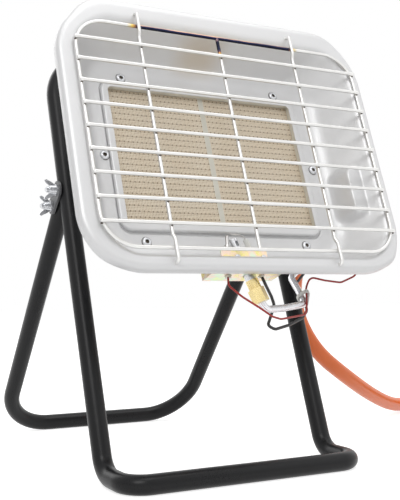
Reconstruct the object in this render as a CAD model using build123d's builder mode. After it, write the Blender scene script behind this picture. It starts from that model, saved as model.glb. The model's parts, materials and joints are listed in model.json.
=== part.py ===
from build123d import *
import os
from math import acos, cos, pi, radians, sin, sqrt, tan

os.makedirs("parts", exist_ok=True)

# Portable gas heater with two ceramic plaques on a folding tube stand.
# Row frame: +X to the right as you look at its face, -Y the way it radiates, +Z up,
# origin on the floor under the middle of the heater's box, without the hose.

# ---------------------------------------------------------------- stand, mm and degrees
lean = 20.5             # front legs and heater, back from upright
tube_od = 16.0
tube_wall = 1.2
half_span = 108.5       # middle of the heater to a leg's axis
toe_reach = 46.0        # leg foot to the floor bar, forward
ankle_bend = 22.0
toe_bend = 19.0
tilt_along = 261.0      # tilt bolt, up the front leg
fold_along = 253.0      # fold bolt, up the front leg
fold_behind = 17.2      # fold bolt, behind the front leg's axis
joint_along = 277.0     # where the hoop slips over the front legs
hoop_along = 404.0      # axis of the hoop's top run
hoop_bend = 49.0
neck_length = 25.0
neck_gap = 0.1          # between the leg's neck and the hoop's bore
rear_length = 286.0     # fold bolt to the axis of the rear floor bar
rear_bend = 50.0
nose_solid = 6.0        # closed end of each rear leg, below the fold bolt

# ---------------------------------------------------------------- bolts and nuts
bolt_d = 5.0
bolt_clear = 0.08       # radial, where a piece turns on its bolt
hole_clear = 0.15       # radial, where it doesn't
bolt_head_af = 8.0
bolt_head_t = 3.5
bolt_end = 129.0        # from the middle of the heater
plate_t = 2.0
plate_gap = 0.3         # between plates and tubes
washer_d = 10.0
washer_t = 1.0
stack_gap = 0.1         # between the faces of one bolt's stack
wing_hub_d = 8.6
wing_hub_t = 6.0
wing_reach = 9.1
wing_t = 1.7
nut_clear = 0.05

# ---------------------------------------------------------------- heater head
# Head coordinates: u to the right, v up the head, w out of its face.
pivot_v = 8.0
pivot_w = -130.0
plaque_w = 92.0         # the standard plaque; window, floor and rim follow it
plaque_h = 132.0
plaque_t = 13.0
seam = 5.0
window_lap = 3.0        # frame over the plaques' edges
window_w = 2 * plaque_w + seam - 2 * window_lap
window_h = plaque_h - 2 * window_lap
window_r = 4.0
flange_w = window_w + 2 * 18.5
flange_h = window_h + 2 * 21.0
flange_u = -5.5
flange_v = -3.0
floor_room_u = 3.0      # flat floor outside the frame's flange
floor_room_v = 3.5
wall_run_u = 24.0       # slope between floor and opening
wall_run_v = 17.5
rim_land_u = 15.5       # rim outside the opening
rim_land_v = 14.5
floor_w = flange_w + 2 * floor_room_u
floor_h = flange_h + 2 * floor_room_v
opening_w = floor_w + 2 * wall_run_u
opening_h = floor_h + 2 * wall_run_v
rim_w = opening_w + 2 * rim_land_u
rim_h = opening_h + 2 * rim_land_v
rim_r = 50.0
rim_face = -4.6
rim_back = -13.0
rim_dome = 6.0
lip_round = 3.0
sheet = 1.2
opening_r = 36.0
floor_r = 28.0
floor_u = -5.0
floor_v = -3.5
floor_at = -41.0
floor_round = 6.0
bulge_u = opening_w / 2 - 14.5
bulge_v = -34.0
bulge_w = 25.0
bulge_h = 54.0
bulge_at = -14.5
bulge_round = 4.0
slot_left = -45.0
slot_right = 42.0
slot_front = -15.0
slot_back = -32.0

# wire guard
wire = 3.0
row_pitch = 20.0
row_count = 9
guard_w = opening_w + 1.0
guard_h = 199.0
guard_r = 28.0
ring_back = 2.6         # ring and uprights behind the rows
weld_sink = 0.3         # the middle upright ends short of the ring's axis
upright_left = -80.0
upright_mid = -4.0
upright_right = 73.0
hook_v = rim_h / 2 - 8.5
hook_tail = 12.0
hook_bend = 3.0
hook_clear = 0.5

# burner
burner_u = -7.0
burner_v = -1.0
frame_edge = 6.0        # width of the raised border
frame_rise = 3.0        # above the dish floor
frame_t = 1.0
frame_gap = 0.5
plaque_sink = 3.0       # plaque face behind the dish floor
gasket_side = 2.0
plenum_back = -86.0
plenum_t = 1.0
ledge = 6.0
rivet_d = 4.0
rivet_head_d = 8.0
rivet_head_t = 2.0
rivet_clear = 0.05
rivet_left = flange_u - flange_w / 2 + 32.0
rivet_right = flange_u + flange_w / 2 - 33.0
rivet_high = flange_v + flange_h / 2 - 8.0
rivet_low = flange_v - flange_h / 2 + 8.0
rivet_spots = [(rivet_left, rivet_high), (rivet_right, rivet_high), (rivet_left, rivet_low),
               (rivet_right, rivet_low), (flange_u - flange_w / 2 + 6.5, flange_v),
               (flange_u + flange_w / 2 - 6.5, flange_v)]
hanger_spots = [(-84.0, 0.0), (-84.0, 16.0), (84.0, 0.0), (84.0, 16.0)]

# gas way
venturi_d = 22.0
venturi_t = 1.2
venturi_v = -26.0
venturi_w = -101.0
venturi_left = -40.0
venturi_right = 70.0
venturi_bend = 14.0
cup_t = 1.5
cup_lap = 8.0
cup_length = 26.0
air_hole_d = 9.0
pipe_d = 6.0
pipe_bend = 12.0
valve_u = bulge_u
valve_w = -38.0
valve_d = 20.0
valve_top = -15.0
valve_bottom = -53.0
block_front = -42.0
block_back = -52.0
block_bottom = -60.0
block_top = -18.0
inlet_v = -50.0
inlet_w = -70.0
spindle_d = 5.0
stem_bore_d = 6.7       # in the valve block, below the plug
spindle_v = -33.0
plug_d = 12.0
panel_u = opening_w / 2 - 3.0   # inner face of the bracket that carries valve and igniter
panel_t = 1.5
neck_hole_d = 15.0      # in the panel, round the spindle
knob_d = 30.0
knob_travel = 2.5
knob_room = 1.0         # between knob and panel when it is pressed
knob_left = panel_u + panel_t + knob_travel + knob_room
knob_right = knob_left + 12.5
piezo_v = 2.0
piezo_w = -50.0
piezo_d = 16.0
button_d = 11.0
button_clear = 0.08
button_travel = 5.0
slide_clear = 0.04
turn_clear = 0.05

# brackets that hang the head in the stand
arm_t = 2.4
arm_top = 22.0
arm_bottom = -6.0
arm_nose = 9.0
foot_in = 22.0

# pilot flame group
pilot_w = -26.0         # plane that burner, probe and electrode share
pilot_top_u = -11.7
pilot_top_v = -85.3
pilot_slant = 16.4
shelf_v = -112.0
shelf_left = -41.0
shelf_right = 25.0
shelf_front = -16.0
shelf_back = -38.0
face_w = -19.0
face_left = -30.5
face_right = 13.0
face_top = -93.2
bracket_t = 1.2
pilot_tube_d = 6.0
red_lead_d = 1.7
black_lead_d = 2.6

# hose
hose_d = 16.0
hose_bore = 8.6
spigot_d = 8.4
spigot_length = 16.0
ferrule_d = 19.0
ferrule_gap = 0.05
coil_x = 488.0
coil_y = 140.0          # behind the leg feet
coil_r = 96.0
coil_lift = 16.5        # one turn lies this far above the other
end_z = 10.0
nut_af = 17.0
nut_length = 18.0
thread_r = 5.95
thread_length = 11.0
relief_r = 6.5          # turned out behind the thread, round the fitting's nose

a = radians(lean)
tube_r = tube_od / 2
tube_bore = tube_od - 2 * tube_wall

# ---------------------------------------------------------------- where things stand
fold_z = fold_along * cos(a) - fold_behind * sin(a)
rear_angle = acos((fold_z - tube_r) / rear_length)
fold_y_rel = fold_along * sin(a) + fold_behind * cos(a)
tilt_y_rel = tilt_along * sin(a)
head_y_rel = tilt_y_rel - pivot_v * sin(a) + pivot_w * cos(a)
back_edge = fold_y_rel + rear_length * sin(rear_angle) + tube_r
front_edge = (head_y_rel - (hook_v - hook_bend) * sin(a) + hook_bend * cos(a)
              - hook_bend - wire / 2)
foot_y = -(front_edge + back_edge) / 2      # where the leg axes meet the floor
head_y = foot_y + head_y_rel
head_z = tilt_along * cos(a) - pivot_v * cos(a) - pivot_w * sin(a)

head = Plane(origin=(0, head_y, head_z), x_dir=(1, 0, 0), z_dir=(0, -cos(a), sin(a)))
outward = Axis(head.origin, head.z_dir)
up_leg = Vector(0, sin(a), cos(a))
down_rear = Vector(0, sin(rear_angle), -cos(rear_angle))


def leg_point(x, along, behind=0.0):
    return Vector(x, foot_y, 0) + up_leg * along + Vector(0, cos(a), -sin(a)) * behind


def rear_point(x, along):
    return leg_point(x, fold_along, fold_behind) + down_rear * along


def at(u, v, w):
    return head.from_local_coords((u, v, w))


def across(u):
    # sketch in v and w, extruded to the right
    return Plane(origin=at(u, 0, 0), x_dir=head.y_dir, z_dir=(1, 0, 0))


def level(v):
    # sketch in u and w, extruded down the head
    return Plane(origin=at(0, v, 0), x_dir=(1, 0, 0), z_dir=-head.y_dir)


def aim(start, end):
    return Plane(origin=start, z_dir=end - start)


def tube_along(points, bends, outer, bore=0.0):
    # a round tube or wire through points, each corner rounded
    with BuildPart() as tube:
        with BuildLine() as route:
            FilletPolyline(*points, radius=bends)
        with BuildSketch(Plane(origin=route.line @ 0, z_dir=route.line % 0)):
            Circle(outer / 2)
            if bore:
                Circle(bore / 2, mode=Mode.SUBTRACT)
        sweep(path=route.line)
    return tube.part


def rod(start, end, outer, bore=0.0):
    with BuildPart() as bar:
        with BuildSketch(aim(start, end)):
            Circle(outer / 2)
            if bore:
                Circle(bore / 2, mode=Mode.SUBTRACT)
        extrude(amount=(end - start).length)
    return bar.part


def save(part, name):
    part.label = name
    export_step(part, f"parts/{name}.step")


# ---------------------------------------------------------------- front frame
# Two legs that bend forward on the floor and meet in a bar.
ankle_y = foot_y + tube_r * tan(a)
toe_y = foot_y - toe_reach
front_tube = tube_along(
    [leg_point(half_span, joint_along), Vector(half_span, ankle_y, tube_r), Vector(half_span, toe_y, tube_r),
     Vector(-half_span, toe_y, tube_r), Vector(-half_span, ankle_y, tube_r),
     leg_point(-half_span, joint_along)],
    [ankle_bend, toe_bend, toe_bend, ankle_bend], tube_od, tube_bore)
neck_d = tube_bore - 2 * neck_gap
neck_bore = neck_d - 2 * tube_wall
with BuildPart() as front_frame:
    add(front_tube)
    for x in (-half_span, half_span):
        shoulder = Plane(origin=leg_point(x, joint_along), z_dir=up_leg)
        with BuildSketch(shoulder.offset(-2 * tube_wall)):
            Circle(tube_bore / 2)
            Circle(neck_bore / 2, mode=Mode.SUBTRACT)
        extrude(amount=2 * tube_wall)
        with BuildSketch(shoulder):
            Circle(neck_d / 2)
            Circle(neck_bore / 2, mode=Mode.SUBTRACT)
        extrude(amount=neck_length)
    with BuildSketch(Plane(origin=leg_point(0, tilt_along), z_dir=(1, 0, 0))):
        Circle(bolt_d / 2 + hole_clear)
    extrude(amount=half_span + tube_od, both=True, mode=Mode.SUBTRACT)
save(front_frame.part, "front_frame")

# ---------------------------------------------------------------- upper hoop
hoop_tube = tube_along(
    [leg_point(half_span, joint_along), leg_point(half_span, hoop_along),
     leg_point(-half_span, hoop_along), leg_point(-half_span, joint_along)],
    [hoop_bend, hoop_bend], tube_od, tube_bore)
with BuildPart() as upper_hoop:
    add(hoop_tube)
save(upper_hoop.part, "upper_hoop")

# ---------------------------------------------------------------- rear frame
# A U that folds on the lower pair of bolts; its tops are closed and rounded about them.
rear_tube = tube_along(
    [rear_point(half_span, 0), rear_point(half_span, rear_length),
     rear_point(-half_span, rear_length), rear_point(-half_span, 0)],
    [rear_bend, rear_bend], tube_od, tube_bore)


def rear_nose(x):
    with BuildPart() as nose:
        with BuildSketch(Plane(origin=rear_point(x, nose_solid), z_dir=-down_rear)):
            Circle(tube_r)
        extrude(amount=nose_solid + tube_r)
        with BuildSketch(Plane(origin=rear_point(x, 0), x_dir=down_rear, z_dir=(1, 0, 0))):
            Circle(tube_r)
            with Locations((tube_r, 0)):
                Rectangle(tube_od, tube_od)
        extrude(amount=tube_r, both=True, mode=Mode.INTERSECT)
    return nose.part


rear_noses = [rear_nose(x) for x in (-half_span, half_span)]
with BuildPart() as rear_frame:
    add(rear_tube)
    for nose in rear_noses:
        add(nose)
    with BuildSketch(Plane(origin=rear_point(0, 0), z_dir=(1, 0, 0))):
        Circle(bolt_d / 2 + bolt_clear)
    extrude(amount=half_span + tube_od, both=True, mode=Mode.SUBTRACT)
save(rear_frame.part, "rear_frame")

# ---------------------------------------------------------------- hinge plates, bolts, washers, wing nuts
plate_in = half_span + tube_r + plate_gap
plate_out = plate_in + plate_t
washer_in = plate_out + stack_gap
nut_in = washer_in + washer_t + stack_gap
arm_out = half_span - tube_r - plate_gap
arm_in = arm_out - arm_t


def leg_side(x):
    # sketch plane across the stand: first axis back from the leg, second axis up it
    return Plane(origin=leg_point(x, 0), x_dir=(0, cos(a), -sin(a)), z_dir=(1, 0, 0))


tilt_spot = (0.0, tilt_along)
fold_spot = (fold_behind, fold_along)


def hinge_plate(side):
    start = plate_in if side > 0 else -plate_out
    with BuildPart() as plate:
        with BuildSketch(leg_side(start)):
            with Locations(tilt_spot):
                Circle(tube_r)
            with Locations(fold_spot):
                Circle(tube_r - 0.5)
            make_hull()
            with Locations(tilt_spot, fold_spot):
                Circle(bolt_d / 2 + hole_clear, mode=Mode.SUBTRACT)
        extrude(amount=plate_t)
    return plate.part


def bolt(spot, side, inner):
    # hexagon head inside, shank out through the stack
    head_start = inner - stack_gap if side > 0 else -(inner - stack_gap)
    with BuildPart() as screw:
        with BuildSketch(leg_side(head_start)):
            with Locations(spot):
                RegularPolygon(bolt_head_af / 2, 6, major_radius=False)
        extrude(amount=-side * bolt_head_t)
        with BuildSketch(leg_side(head_start)):
            with Locations(spot):
                Circle(bolt_d / 2)
        extrude(amount=side * (bolt_end - inner + stack_gap))
        chamfer(screw.faces().sort_by(Axis.X)[-1 if side > 0 else 0].edges(), 0.6)
    return screw.part


def washer(spot, side):
    start = washer_in if side > 0 else -(washer_in + washer_t)
    with BuildPart() as ring:
        with BuildSketch(leg_side(start)):
            with Locations(spot):
                Circle(washer_d / 2)
                Circle(bolt_d / 2 + hole_clear, mode=Mode.SUBTRACT)
        extrude(amount=washer_t)
    return ring.part


def wing_nut(spot, side):
    # a tapered hub and two wings that flare outward
    middle = leg_point(side * nut_in, spot[1], spot[0])
    nut_plane = Plane(origin=middle, x_dir=(0, 0, 1), z_dir=(side, 0, 0))
    spin = Plane(origin=middle, x_dir=(0, 0, 1), z_dir=nut_plane.y_dir)
    out = side * spin.y_dir.X
    with BuildPart() as nut:
        with BuildSketch(nut_plane):
            Circle(wing_hub_d / 2)
        extrude(amount=wing_hub_t, taper=6)
        with BuildSketch(spin):
            with BuildLine():
                Polyline((-3, 0.6 * out), (-4.6, 0.6 * out), (-6.4, 3.0 * out), (-wing_reach, 8.5 * out),
                         (-wing_reach + 1, 10.2 * out), (-6.2, 9.2 * out), (-3, 5.2 * out), close=True)
            make_face()
            mirror(about=Plane.YZ)
        extrude(amount=wing_t / 2, both=True)
        with BuildSketch(nut_plane):
            Circle(bolt_d / 2 + nut_clear)
        extrude(amount=wing_hub_t + 6, mode=Mode.SUBTRACT)
    return nut.part


for side, word in ((-1, "left"), (1, "right")):
    save(hinge_plate(side), f"hinge_plate_{word}")
    save(wing_nut(tilt_spot, side), f"tilt_wing_nut_{word}")
    save(wing_nut(fold_spot, side), f"fold_wing_nut_{word}")

pair = (-1, 1)
save(Compound(children=[bolt(tilt_spot, side, arm_in) for side in pair]), "tilt_bolts")
save(Compound(children=[bolt(fold_spot, side, half_span - tube_r) for side in pair]), "fold_bolts")
save(Compound(children=[washer(spot, side) for spot in (tilt_spot, fold_spot) for side in pair]), "washers")


# ---------------------------------------------------------------- reflector dish
# One pressing: everything behind its front face, less everything behind its back face.
def wall_w(u):
    # the front face of the right-hand wall at u
    foot = floor_u + floor_w / 2
    return floor_at + (u - foot) * (rim_face - floor_at) / (opening_w / 2 - foot)


def dish_block(inset):
    with BuildPart() as tub:
        with BuildSketch(head.offset(floor_at - inset)):
            with Locations((floor_u, floor_v)):
                RectangleRounded(floor_w + 2 * inset, floor_h + 2 * inset, floor_r + inset)
        with BuildSketch(head.offset(rim_face - inset)):
            RectangleRounded(opening_w + 2 * inset, opening_h + 2 * inset, opening_r + inset)
        loft(ruled=True)
        fillet(tub.faces().sort_by(outward)[0].edges(), floor_round + inset)
        with BuildSketch(head.offset(floor_at - 4)):
            with Locations((bulge_u, bulge_v)):
                SlotOverall(bulge_h - 2 * inset, bulge_w - 2 * inset, rotation=90)
        extrude(amount=bulge_at - floor_at + 4 - inset, mode=Mode.SUBTRACT)
        bulge_face = tub.faces().filter_by(GeomType.PLANE).filter_by(
            lambda f: abs(head.to_local_coords(f.center()).Z - bulge_at + inset) < 0.01)
        fillet(bulge_face.edges(), bulge_round - inset)
    with BuildPart() as block:
        with BuildSketch(head.offset(rim_face - inset)):
            RectangleRounded(rim_w - 2 * inset, rim_h - 2 * inset, rim_r - inset)
        extrude(amount=floor_at - rim_face - 20)
        fillet(block.faces().sort_by(outward)[-1].edges(), rim_dome - inset)
        add(tub.part, mode=Mode.SUBTRACT)
        mouth = block.faces().sort_by(outward)[-1].inner_wires()[0]
        fillet(mouth.edges(), lip_round + inset / 2)
    return block.part


front_block = dish_block(0.0)
back_block = dish_block(sheet)
with BuildPart() as reflector_dish:
    add(front_block)
    add(back_block, mode=Mode.SUBTRACT)
    with BuildSketch(head.offset(rim_back)):
        RectangleRounded(rim_w + 2, rim_h + 2, rim_r + 1)
        RectangleRounded(rim_w - 3 * sheet, rim_h - 3 * sheet, rim_r - 1.5 * sheet, mode=Mode.SUBTRACT)
    extrude(amount=floor_at - 22 - rim_back, mode=Mode.SUBTRACT)
    with BuildSketch(head.offset(floor_at - 5)):
        with Locations((burner_u, burner_v)):
            RectangleRounded(window_w + 2 * (frame_edge + frame_gap), window_h + 2 * (frame_edge + frame_gap),
                             window_r + frame_edge)
        with Locations(*rivet_spots):
            Circle(rivet_d / 2 + rivet_clear)
    extrude(amount=8, mode=Mode.SUBTRACT)
    with BuildSketch(level(-opening_h / 2 + 25)):
        with Locations(((slot_left + slot_right) / 2, (slot_front + slot_back) / 2)):
            RectangleRounded(slot_right - slot_left, slot_front - slot_back, 2)
    extrude(amount=38, mode=Mode.SUBTRACT)
    with BuildSketch(head.offset(rim_back)):
        with Locations(*[(u, v) for u in (upright_left, upright_right) for v in (-hook_v, hook_v)]):
            Circle(wire / 2 + hook_clear)
    extrude(amount=14, mode=Mode.SUBTRACT)
save(reflector_dish.part, "reflector_dish")

# ---------------------------------------------------------------- burner frame, behind the dish floor
flange_front = floor_at - sheet
frame_top = floor_at + frame_rise
with BuildPart() as burner_frame:
    with BuildSketch(head.offset(flange_front - frame_t)):
        with Locations((flange_u, flange_v)):
            RectangleRounded(flange_w, flange_h, 10)
    extrude(amount=frame_t)
    with BuildSketch(head.offset(flange_front - frame_t)):
        with Locations((burner_u, burner_v)):
            RectangleRounded(window_w + 2 * frame_edge, window_h + 2 * frame_edge, window_r + frame_edge)
    extrude(amount=frame_top - flange_front + frame_t)
    fillet(burner_frame.faces().sort_by(outward)[-1].edges(), 2)
    with BuildSketch(head.offset(flange_front - frame_t)):
        with Locations((burner_u, burner_v)):
            RectangleRounded(window_w + 2 * (frame_edge - frame_t), window_h + 2 * (frame_edge - frame_t),
                             window_r + frame_edge - frame_t)
    extrude(amount=frame_top - flange_front, mode=Mode.SUBTRACT)
    with BuildSketch(head.offset(flange_front - frame_t)):
        with Locations((burner_u, burner_v)):
            RectangleRounded(window_w, window_h, window_r)
        with Locations(*rivet_spots):
            Circle(rivet_d / 2 + rivet_clear)
    extrude(amount=frame_rise + 5, mode=Mode.SUBTRACT)
save(burner_frame.part, "burner_frame")

# ---------------------------------------------------------------- plaques and their gasket
plaque_face = floor_at - plaque_sink
box_w = window_w + 2 * (frame_edge - frame_t)
box_h = window_h + 2 * (frame_edge - frame_t)
box_r = 3.0
plaque_step = (plaque_w + seam) / 2


def plaque(u):
    with BuildPart() as tile:
        with BuildSketch(head.offset(plaque_face)):
            with Locations((u, burner_v)):
                Rectangle(plaque_w, plaque_h)
        extrude(amount=-plaque_t)
    return tile.part


save(plaque(burner_u - plaque_step), "ceramic_plaque_left")
save(plaque(burner_u + plaque_step), "ceramic_plaque_right")

with BuildPart() as plaque_gasket:
    with BuildSketch(head.offset(frame_top - frame_t)):
        with Locations((burner_u, burner_v)):
            RectangleRounded(box_w, box_h, window_r + frame_edge - frame_t)
    extrude(amount=flange_front - frame_top)
    with BuildSketch(head.offset(flange_front - frame_t)):
        with Locations((burner_u, burner_v)):
            RectangleRounded(box_w, box_h, box_r)
    extrude(amount=plaque_face - plaque_t - flange_front + frame_t)
    with BuildSketch(head.offset(frame_top)):
        with Locations((burner_u, burner_v)):
            Rectangle(2 * plaque_w + seam - 2 * gasket_side, plaque_h - 2 * gasket_side)
    extrude(amount=plaque_face - frame_top, mode=Mode.SUBTRACT)
    with BuildSketch(head.offset(plaque_face)):
        with Locations((burner_u - plaque_step, burner_v), (burner_u + plaque_step, burner_v)):
            Rectangle(plaque_w, plaque_h)
    extrude(amount=-plaque_t - 1, mode=Mode.SUBTRACT)
save(plaque_gasket.part, "plaque_gasket")

# ---------------------------------------------------------------- plenum behind the plaques
plenum_front = flange_front - frame_t
ledge_top = plaque_face - plaque_t
with BuildPart() as burner_plenum:
    with BuildSketch(head.offset(plenum_front - plenum_t)):
        with Locations((flange_u, flange_v)):
            RectangleRounded(flange_w, flange_h, 10)
    extrude(amount=plenum_t)
    with BuildSketch(head.offset(plenum_front)):
        with Locations((burner_u, burner_v)):
            RectangleRounded(box_w + 2 * plenum_t, box_h + 2 * plenum_t, box_r + plenum_t)
    extrude(amount=plenum_back - plenum_front)
    with BuildSketch(head.offset(plenum_front)):
        with Locations((burner_u, burner_v)):
            RectangleRounded(box_w, box_h, box_r)
    extrude(amount=ledge_top - plenum_front, mode=Mode.SUBTRACT)
    with BuildSketch(head.offset(ledge_top)):
        with Locations((burner_u, burner_v)):
            Rectangle(box_w - 2 * ledge - 4, box_h - 2 * ledge - 4)
    extrude(amount=-plenum_t, mode=Mode.SUBTRACT)
    with BuildSketch(head.offset(ledge_top - plenum_t)):
        with Locations((burner_u, burner_v)):
            RectangleRounded(box_w, box_h, box_r)
    extrude(amount=plenum_back + plenum_t - ledge_top + plenum_t, mode=Mode.SUBTRACT)
    with BuildSketch(head.offset(plenum_front - plenum_t - 1)):
        with Locations(*rivet_spots):
            Circle(rivet_d / 2 + rivet_clear)
    extrude(amount=plenum_t + 2, mode=Mode.SUBTRACT)
    with BuildSketch(head.offset(plenum_back - 1)):
        with Locations((venturi_left, venturi_v)):
            Circle(venturi_d / 2 + rivet_clear)
        with Locations(*hanger_spots):
            Circle(rivet_d / 2 + rivet_clear)
    extrude(amount=plenum_t + 2, mode=Mode.SUBTRACT)
save(burner_plenum.part, "burner_plenum")


def burner_rivet(u, v):
    # domed head in the dish, shank through dish, frame and flange, set head behind
    back = plenum_front - plenum_t
    with BuildPart() as pin:
        with BuildSketch(head.offset(floor_at)):
            with Locations((u, v)):
                Circle(rivet_head_d / 2)
        extrude(amount=rivet_head_t)
        fillet(pin.faces().sort_by(outward)[-1].edges(), rivet_head_t - 0.4)
        with BuildSketch(head.offset(floor_at)):
            with Locations((u, v)):
                Circle(rivet_d / 2)
        extrude(amount=back - floor_at)
        with BuildSketch(head.offset(back)):
            with Locations((u, v)):
                Circle(rivet_d * 0.8)
        extrude(amount=-1.2)
        with BuildSketch(head.offset(floor_at + rivet_head_t)):
            with Locations((u, v)):
                Circle(rivet_d / 4)
        extrude(amount=-rivet_head_t, mode=Mode.SUBTRACT)
    return pin.part


save(Compound(children=[burner_rivet(u, v) for u, v in rivet_spots]), "burner_rivets")

# ---------------------------------------------------------------- wire guard
# Nine rows lie on a closed ring and three uprights; the outer uprights hook into the rim.
half_w = guard_w / 2
half_h = guard_h / 2
step = ring_back * 2


def hooked_upright(u):
    over = half_h - step
    points = [at(u, -hook_v, -hook_tail), at(u, -hook_v, 0), at(u, -over, 0), at(u, -over + step, -ring_back),
              at(u, over - step, -ring_back), at(u, over, 0), at(u, hook_v, 0), at(u, hook_v, -hook_tail)]
    return tube_along(points, [hook_bend, 5, 5, 5, 5, hook_bend], wire)


uprights = [hooked_upright(upright_left), hooked_upright(upright_right)]
ring_route = (head.offset(-ring_back) * RectangleRounded(guard_w, guard_h, guard_r)).wire()
with BuildPart() as wire_guard:
    with BuildSketch(Plane(origin=ring_route @ 0, z_dir=ring_route % 0)):
        Circle(wire / 2)
    sweep(path=ring_route)
    for upright in uprights:
        add(upright)
    with BuildSketch(level(half_h - weld_sink)):
        with Locations((upright_mid, -ring_back)):
            Circle(wire / 2)
    extrude(amount=guard_h - 2 * weld_sink)
    with BuildSketch(across(-half_w - 0.5)):
        with Locations(*[((k - (row_count - 1) / 2) * row_pitch, 0) for k in range(row_count)]):
            Circle(wire / 2)
    extrude(amount=guard_w + 1)
save(wire_guard.part, "wire_guard")

# ---------------------------------------------------------------- mixing tube, injector and its pipe
mixing_tube = tube_along(
    [at(venturi_right, venturi_v, venturi_w), at(venturi_left, venturi_v, venturi_w),
     at(venturi_left, venturi_v, plenum_back + plenum_t)],
    venturi_bend, venturi_d, venturi_d - 2 * venturi_t)
with BuildPart() as venturi_tube:
    add(mixing_tube)
    with BuildSketch(head.offset(plenum_back)):
        with Locations((venturi_left, venturi_v)):
            Circle(venturi_d / 2 + 4)
            Circle(venturi_d / 2 - venturi_t, mode=Mode.SUBTRACT)
    extrude(amount=-plenum_t)
save(venturi_tube.part, "venturi_tube")

cup_left = venturi_right - cup_lap
cup_right = cup_left + cup_length
cup_bore = venturi_d / 2 + rivet_clear
injector_d = 8.0
with BuildPart() as injector_holder:
    with BuildSketch(across(cup_left)):
        with Locations((venturi_v, venturi_w)):
            Circle(cup_bore + cup_t)
    extrude(amount=cup_length)
    with BuildSketch(across(cup_left)):
        with Locations((venturi_v, venturi_w)):
            Circle(cup_bore)
    extrude(amount=cup_length - cup_t, mode=Mode.SUBTRACT)
    with BuildSketch(across(cup_right)):
        with Locations((venturi_v, venturi_w)):
            Circle(injector_d / 2 + rivet_clear)
    extrude(amount=-cup_t, mode=Mode.SUBTRACT)
    air_u = (venturi_right + cup_right - cup_t) / 2
    with BuildSketch(head.offset(venturi_w)):
        with Locations((air_u, venturi_v)):
            Circle(air_hole_d / 2)
    extrude(amount=venturi_d, both=True, mode=Mode.SUBTRACT)
    with BuildSketch(level(venturi_v)):
        with Locations((air_u, venturi_w)):
            Circle(air_hole_d / 2)
    extrude(amount=venturi_d, both=True, mode=Mode.SUBTRACT)
save(injector_holder.part, "injector_holder")

with BuildPart() as injector:
    with BuildSketch(across(cup_right)):
        with Locations((venturi_v, venturi_w)):
            RegularPolygon(6.0, 6, major_radius=False)
    extrude(amount=10)
    with BuildSketch(across(cup_right)):
        with Locations((venturi_v, venturi_w)):
            Circle(injector_d / 2)
    extrude(amount=-6)
    with BuildSketch(across(cup_right + 10)):
        with Locations((venturi_v, venturi_w)):
            Circle(pipe_d / 2 + rivet_clear)
    extrude(amount=-8, mode=Mode.SUBTRACT)
    with BuildSketch(across(cup_right + 10)):
        with Locations((venturi_v, venturi_w)):
            Circle(0.6)
    extrude(amount=-18, mode=Mode.SUBTRACT)
save(injector.part, "injector")

burner_gas_pipe = tube_along(
    [at(cup_right + 2.5, venturi_v, venturi_w), at(valve_u, venturi_v, venturi_w),
     at(valve_u, venturi_v, block_back + 5)], pipe_bend, pipe_d, 4.0)
save(burner_gas_pipe, "burner_gas_pipe")


# ---------------------------------------------------------------- brackets that hang the head
def side_bracket(side):
    inner = arm_in if side > 0 else -arm_out
    foot_left = side * arm_in if side < 0 else arm_in - foot_in
    with BuildPart() as hanger:
        with BuildSketch(across(inner)):
            with Locations((pivot_v, pivot_w)):
                Circle(arm_nose)
            with Locations(((arm_top + arm_bottom) / 2, plenum_back - arm_t - 2)):
                Rectangle(arm_top - arm_bottom, 4)
            make_hull()
        extrude(amount=arm_t)
        with BuildSketch(across(inner)):
            with Locations(((arm_top + arm_bottom) / 2, plenum_back - arm_t / 2)):
                Rectangle(arm_top - arm_bottom, arm_t)
        extrude(amount=arm_t)
        with BuildSketch(across(foot_left)):
            with Locations(((arm_top + arm_bottom) / 2, plenum_back - arm_t / 2)):
                Rectangle(arm_top - arm_bottom, arm_t)
        extrude(amount=foot_in)
        with BuildSketch(head.offset(plenum_back)):
            with Locations(*[spot for spot in hanger_spots if spot[0] * side > 0]):
                Circle(rivet_d / 2 + rivet_clear)
        extrude(amount=-arm_t, mode=Mode.SUBTRACT)
        with BuildSketch(across(inner)):
            with Locations((pivot_v, pivot_w)):
                Circle(bolt_d / 2 + bolt_clear)
            with Locations((arm_top, (pivot_w + plenum_back) / 2 + 6)):
                Rectangle(10, 7)
        extrude(amount=arm_t, mode=Mode.SUBTRACT)
    return hanger.part


def hanger_rivet(u, v):
    with BuildPart() as pin:
        with BuildSketch(head.offset(plenum_back - arm_t)):
            with Locations((u, v)):
                Circle(rivet_head_d / 2)
        extrude(amount=-rivet_head_t)
        fillet(pin.faces().sort_by(outward)[0].edges(), rivet_head_t - 0.4)
        with BuildSketch(head.offset(plenum_back - arm_t)):
            with Locations((u, v)):
                Circle(rivet_d / 2)
        extrude(amount=arm_t + plenum_t)
        with BuildSketch(head.offset(plenum_back + plenum_t)):
            with Locations((u, v)):
                Circle(rivet_d * 0.8)
        extrude(amount=1.2)
    return pin.part


save(side_bracket(-1), "side_bracket_left")
save(side_bracket(1), "side_bracket_right")
save(Compound(children=[hanger_rivet(u, v) for u, v in hanger_spots]), "bracket_rivets")

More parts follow.
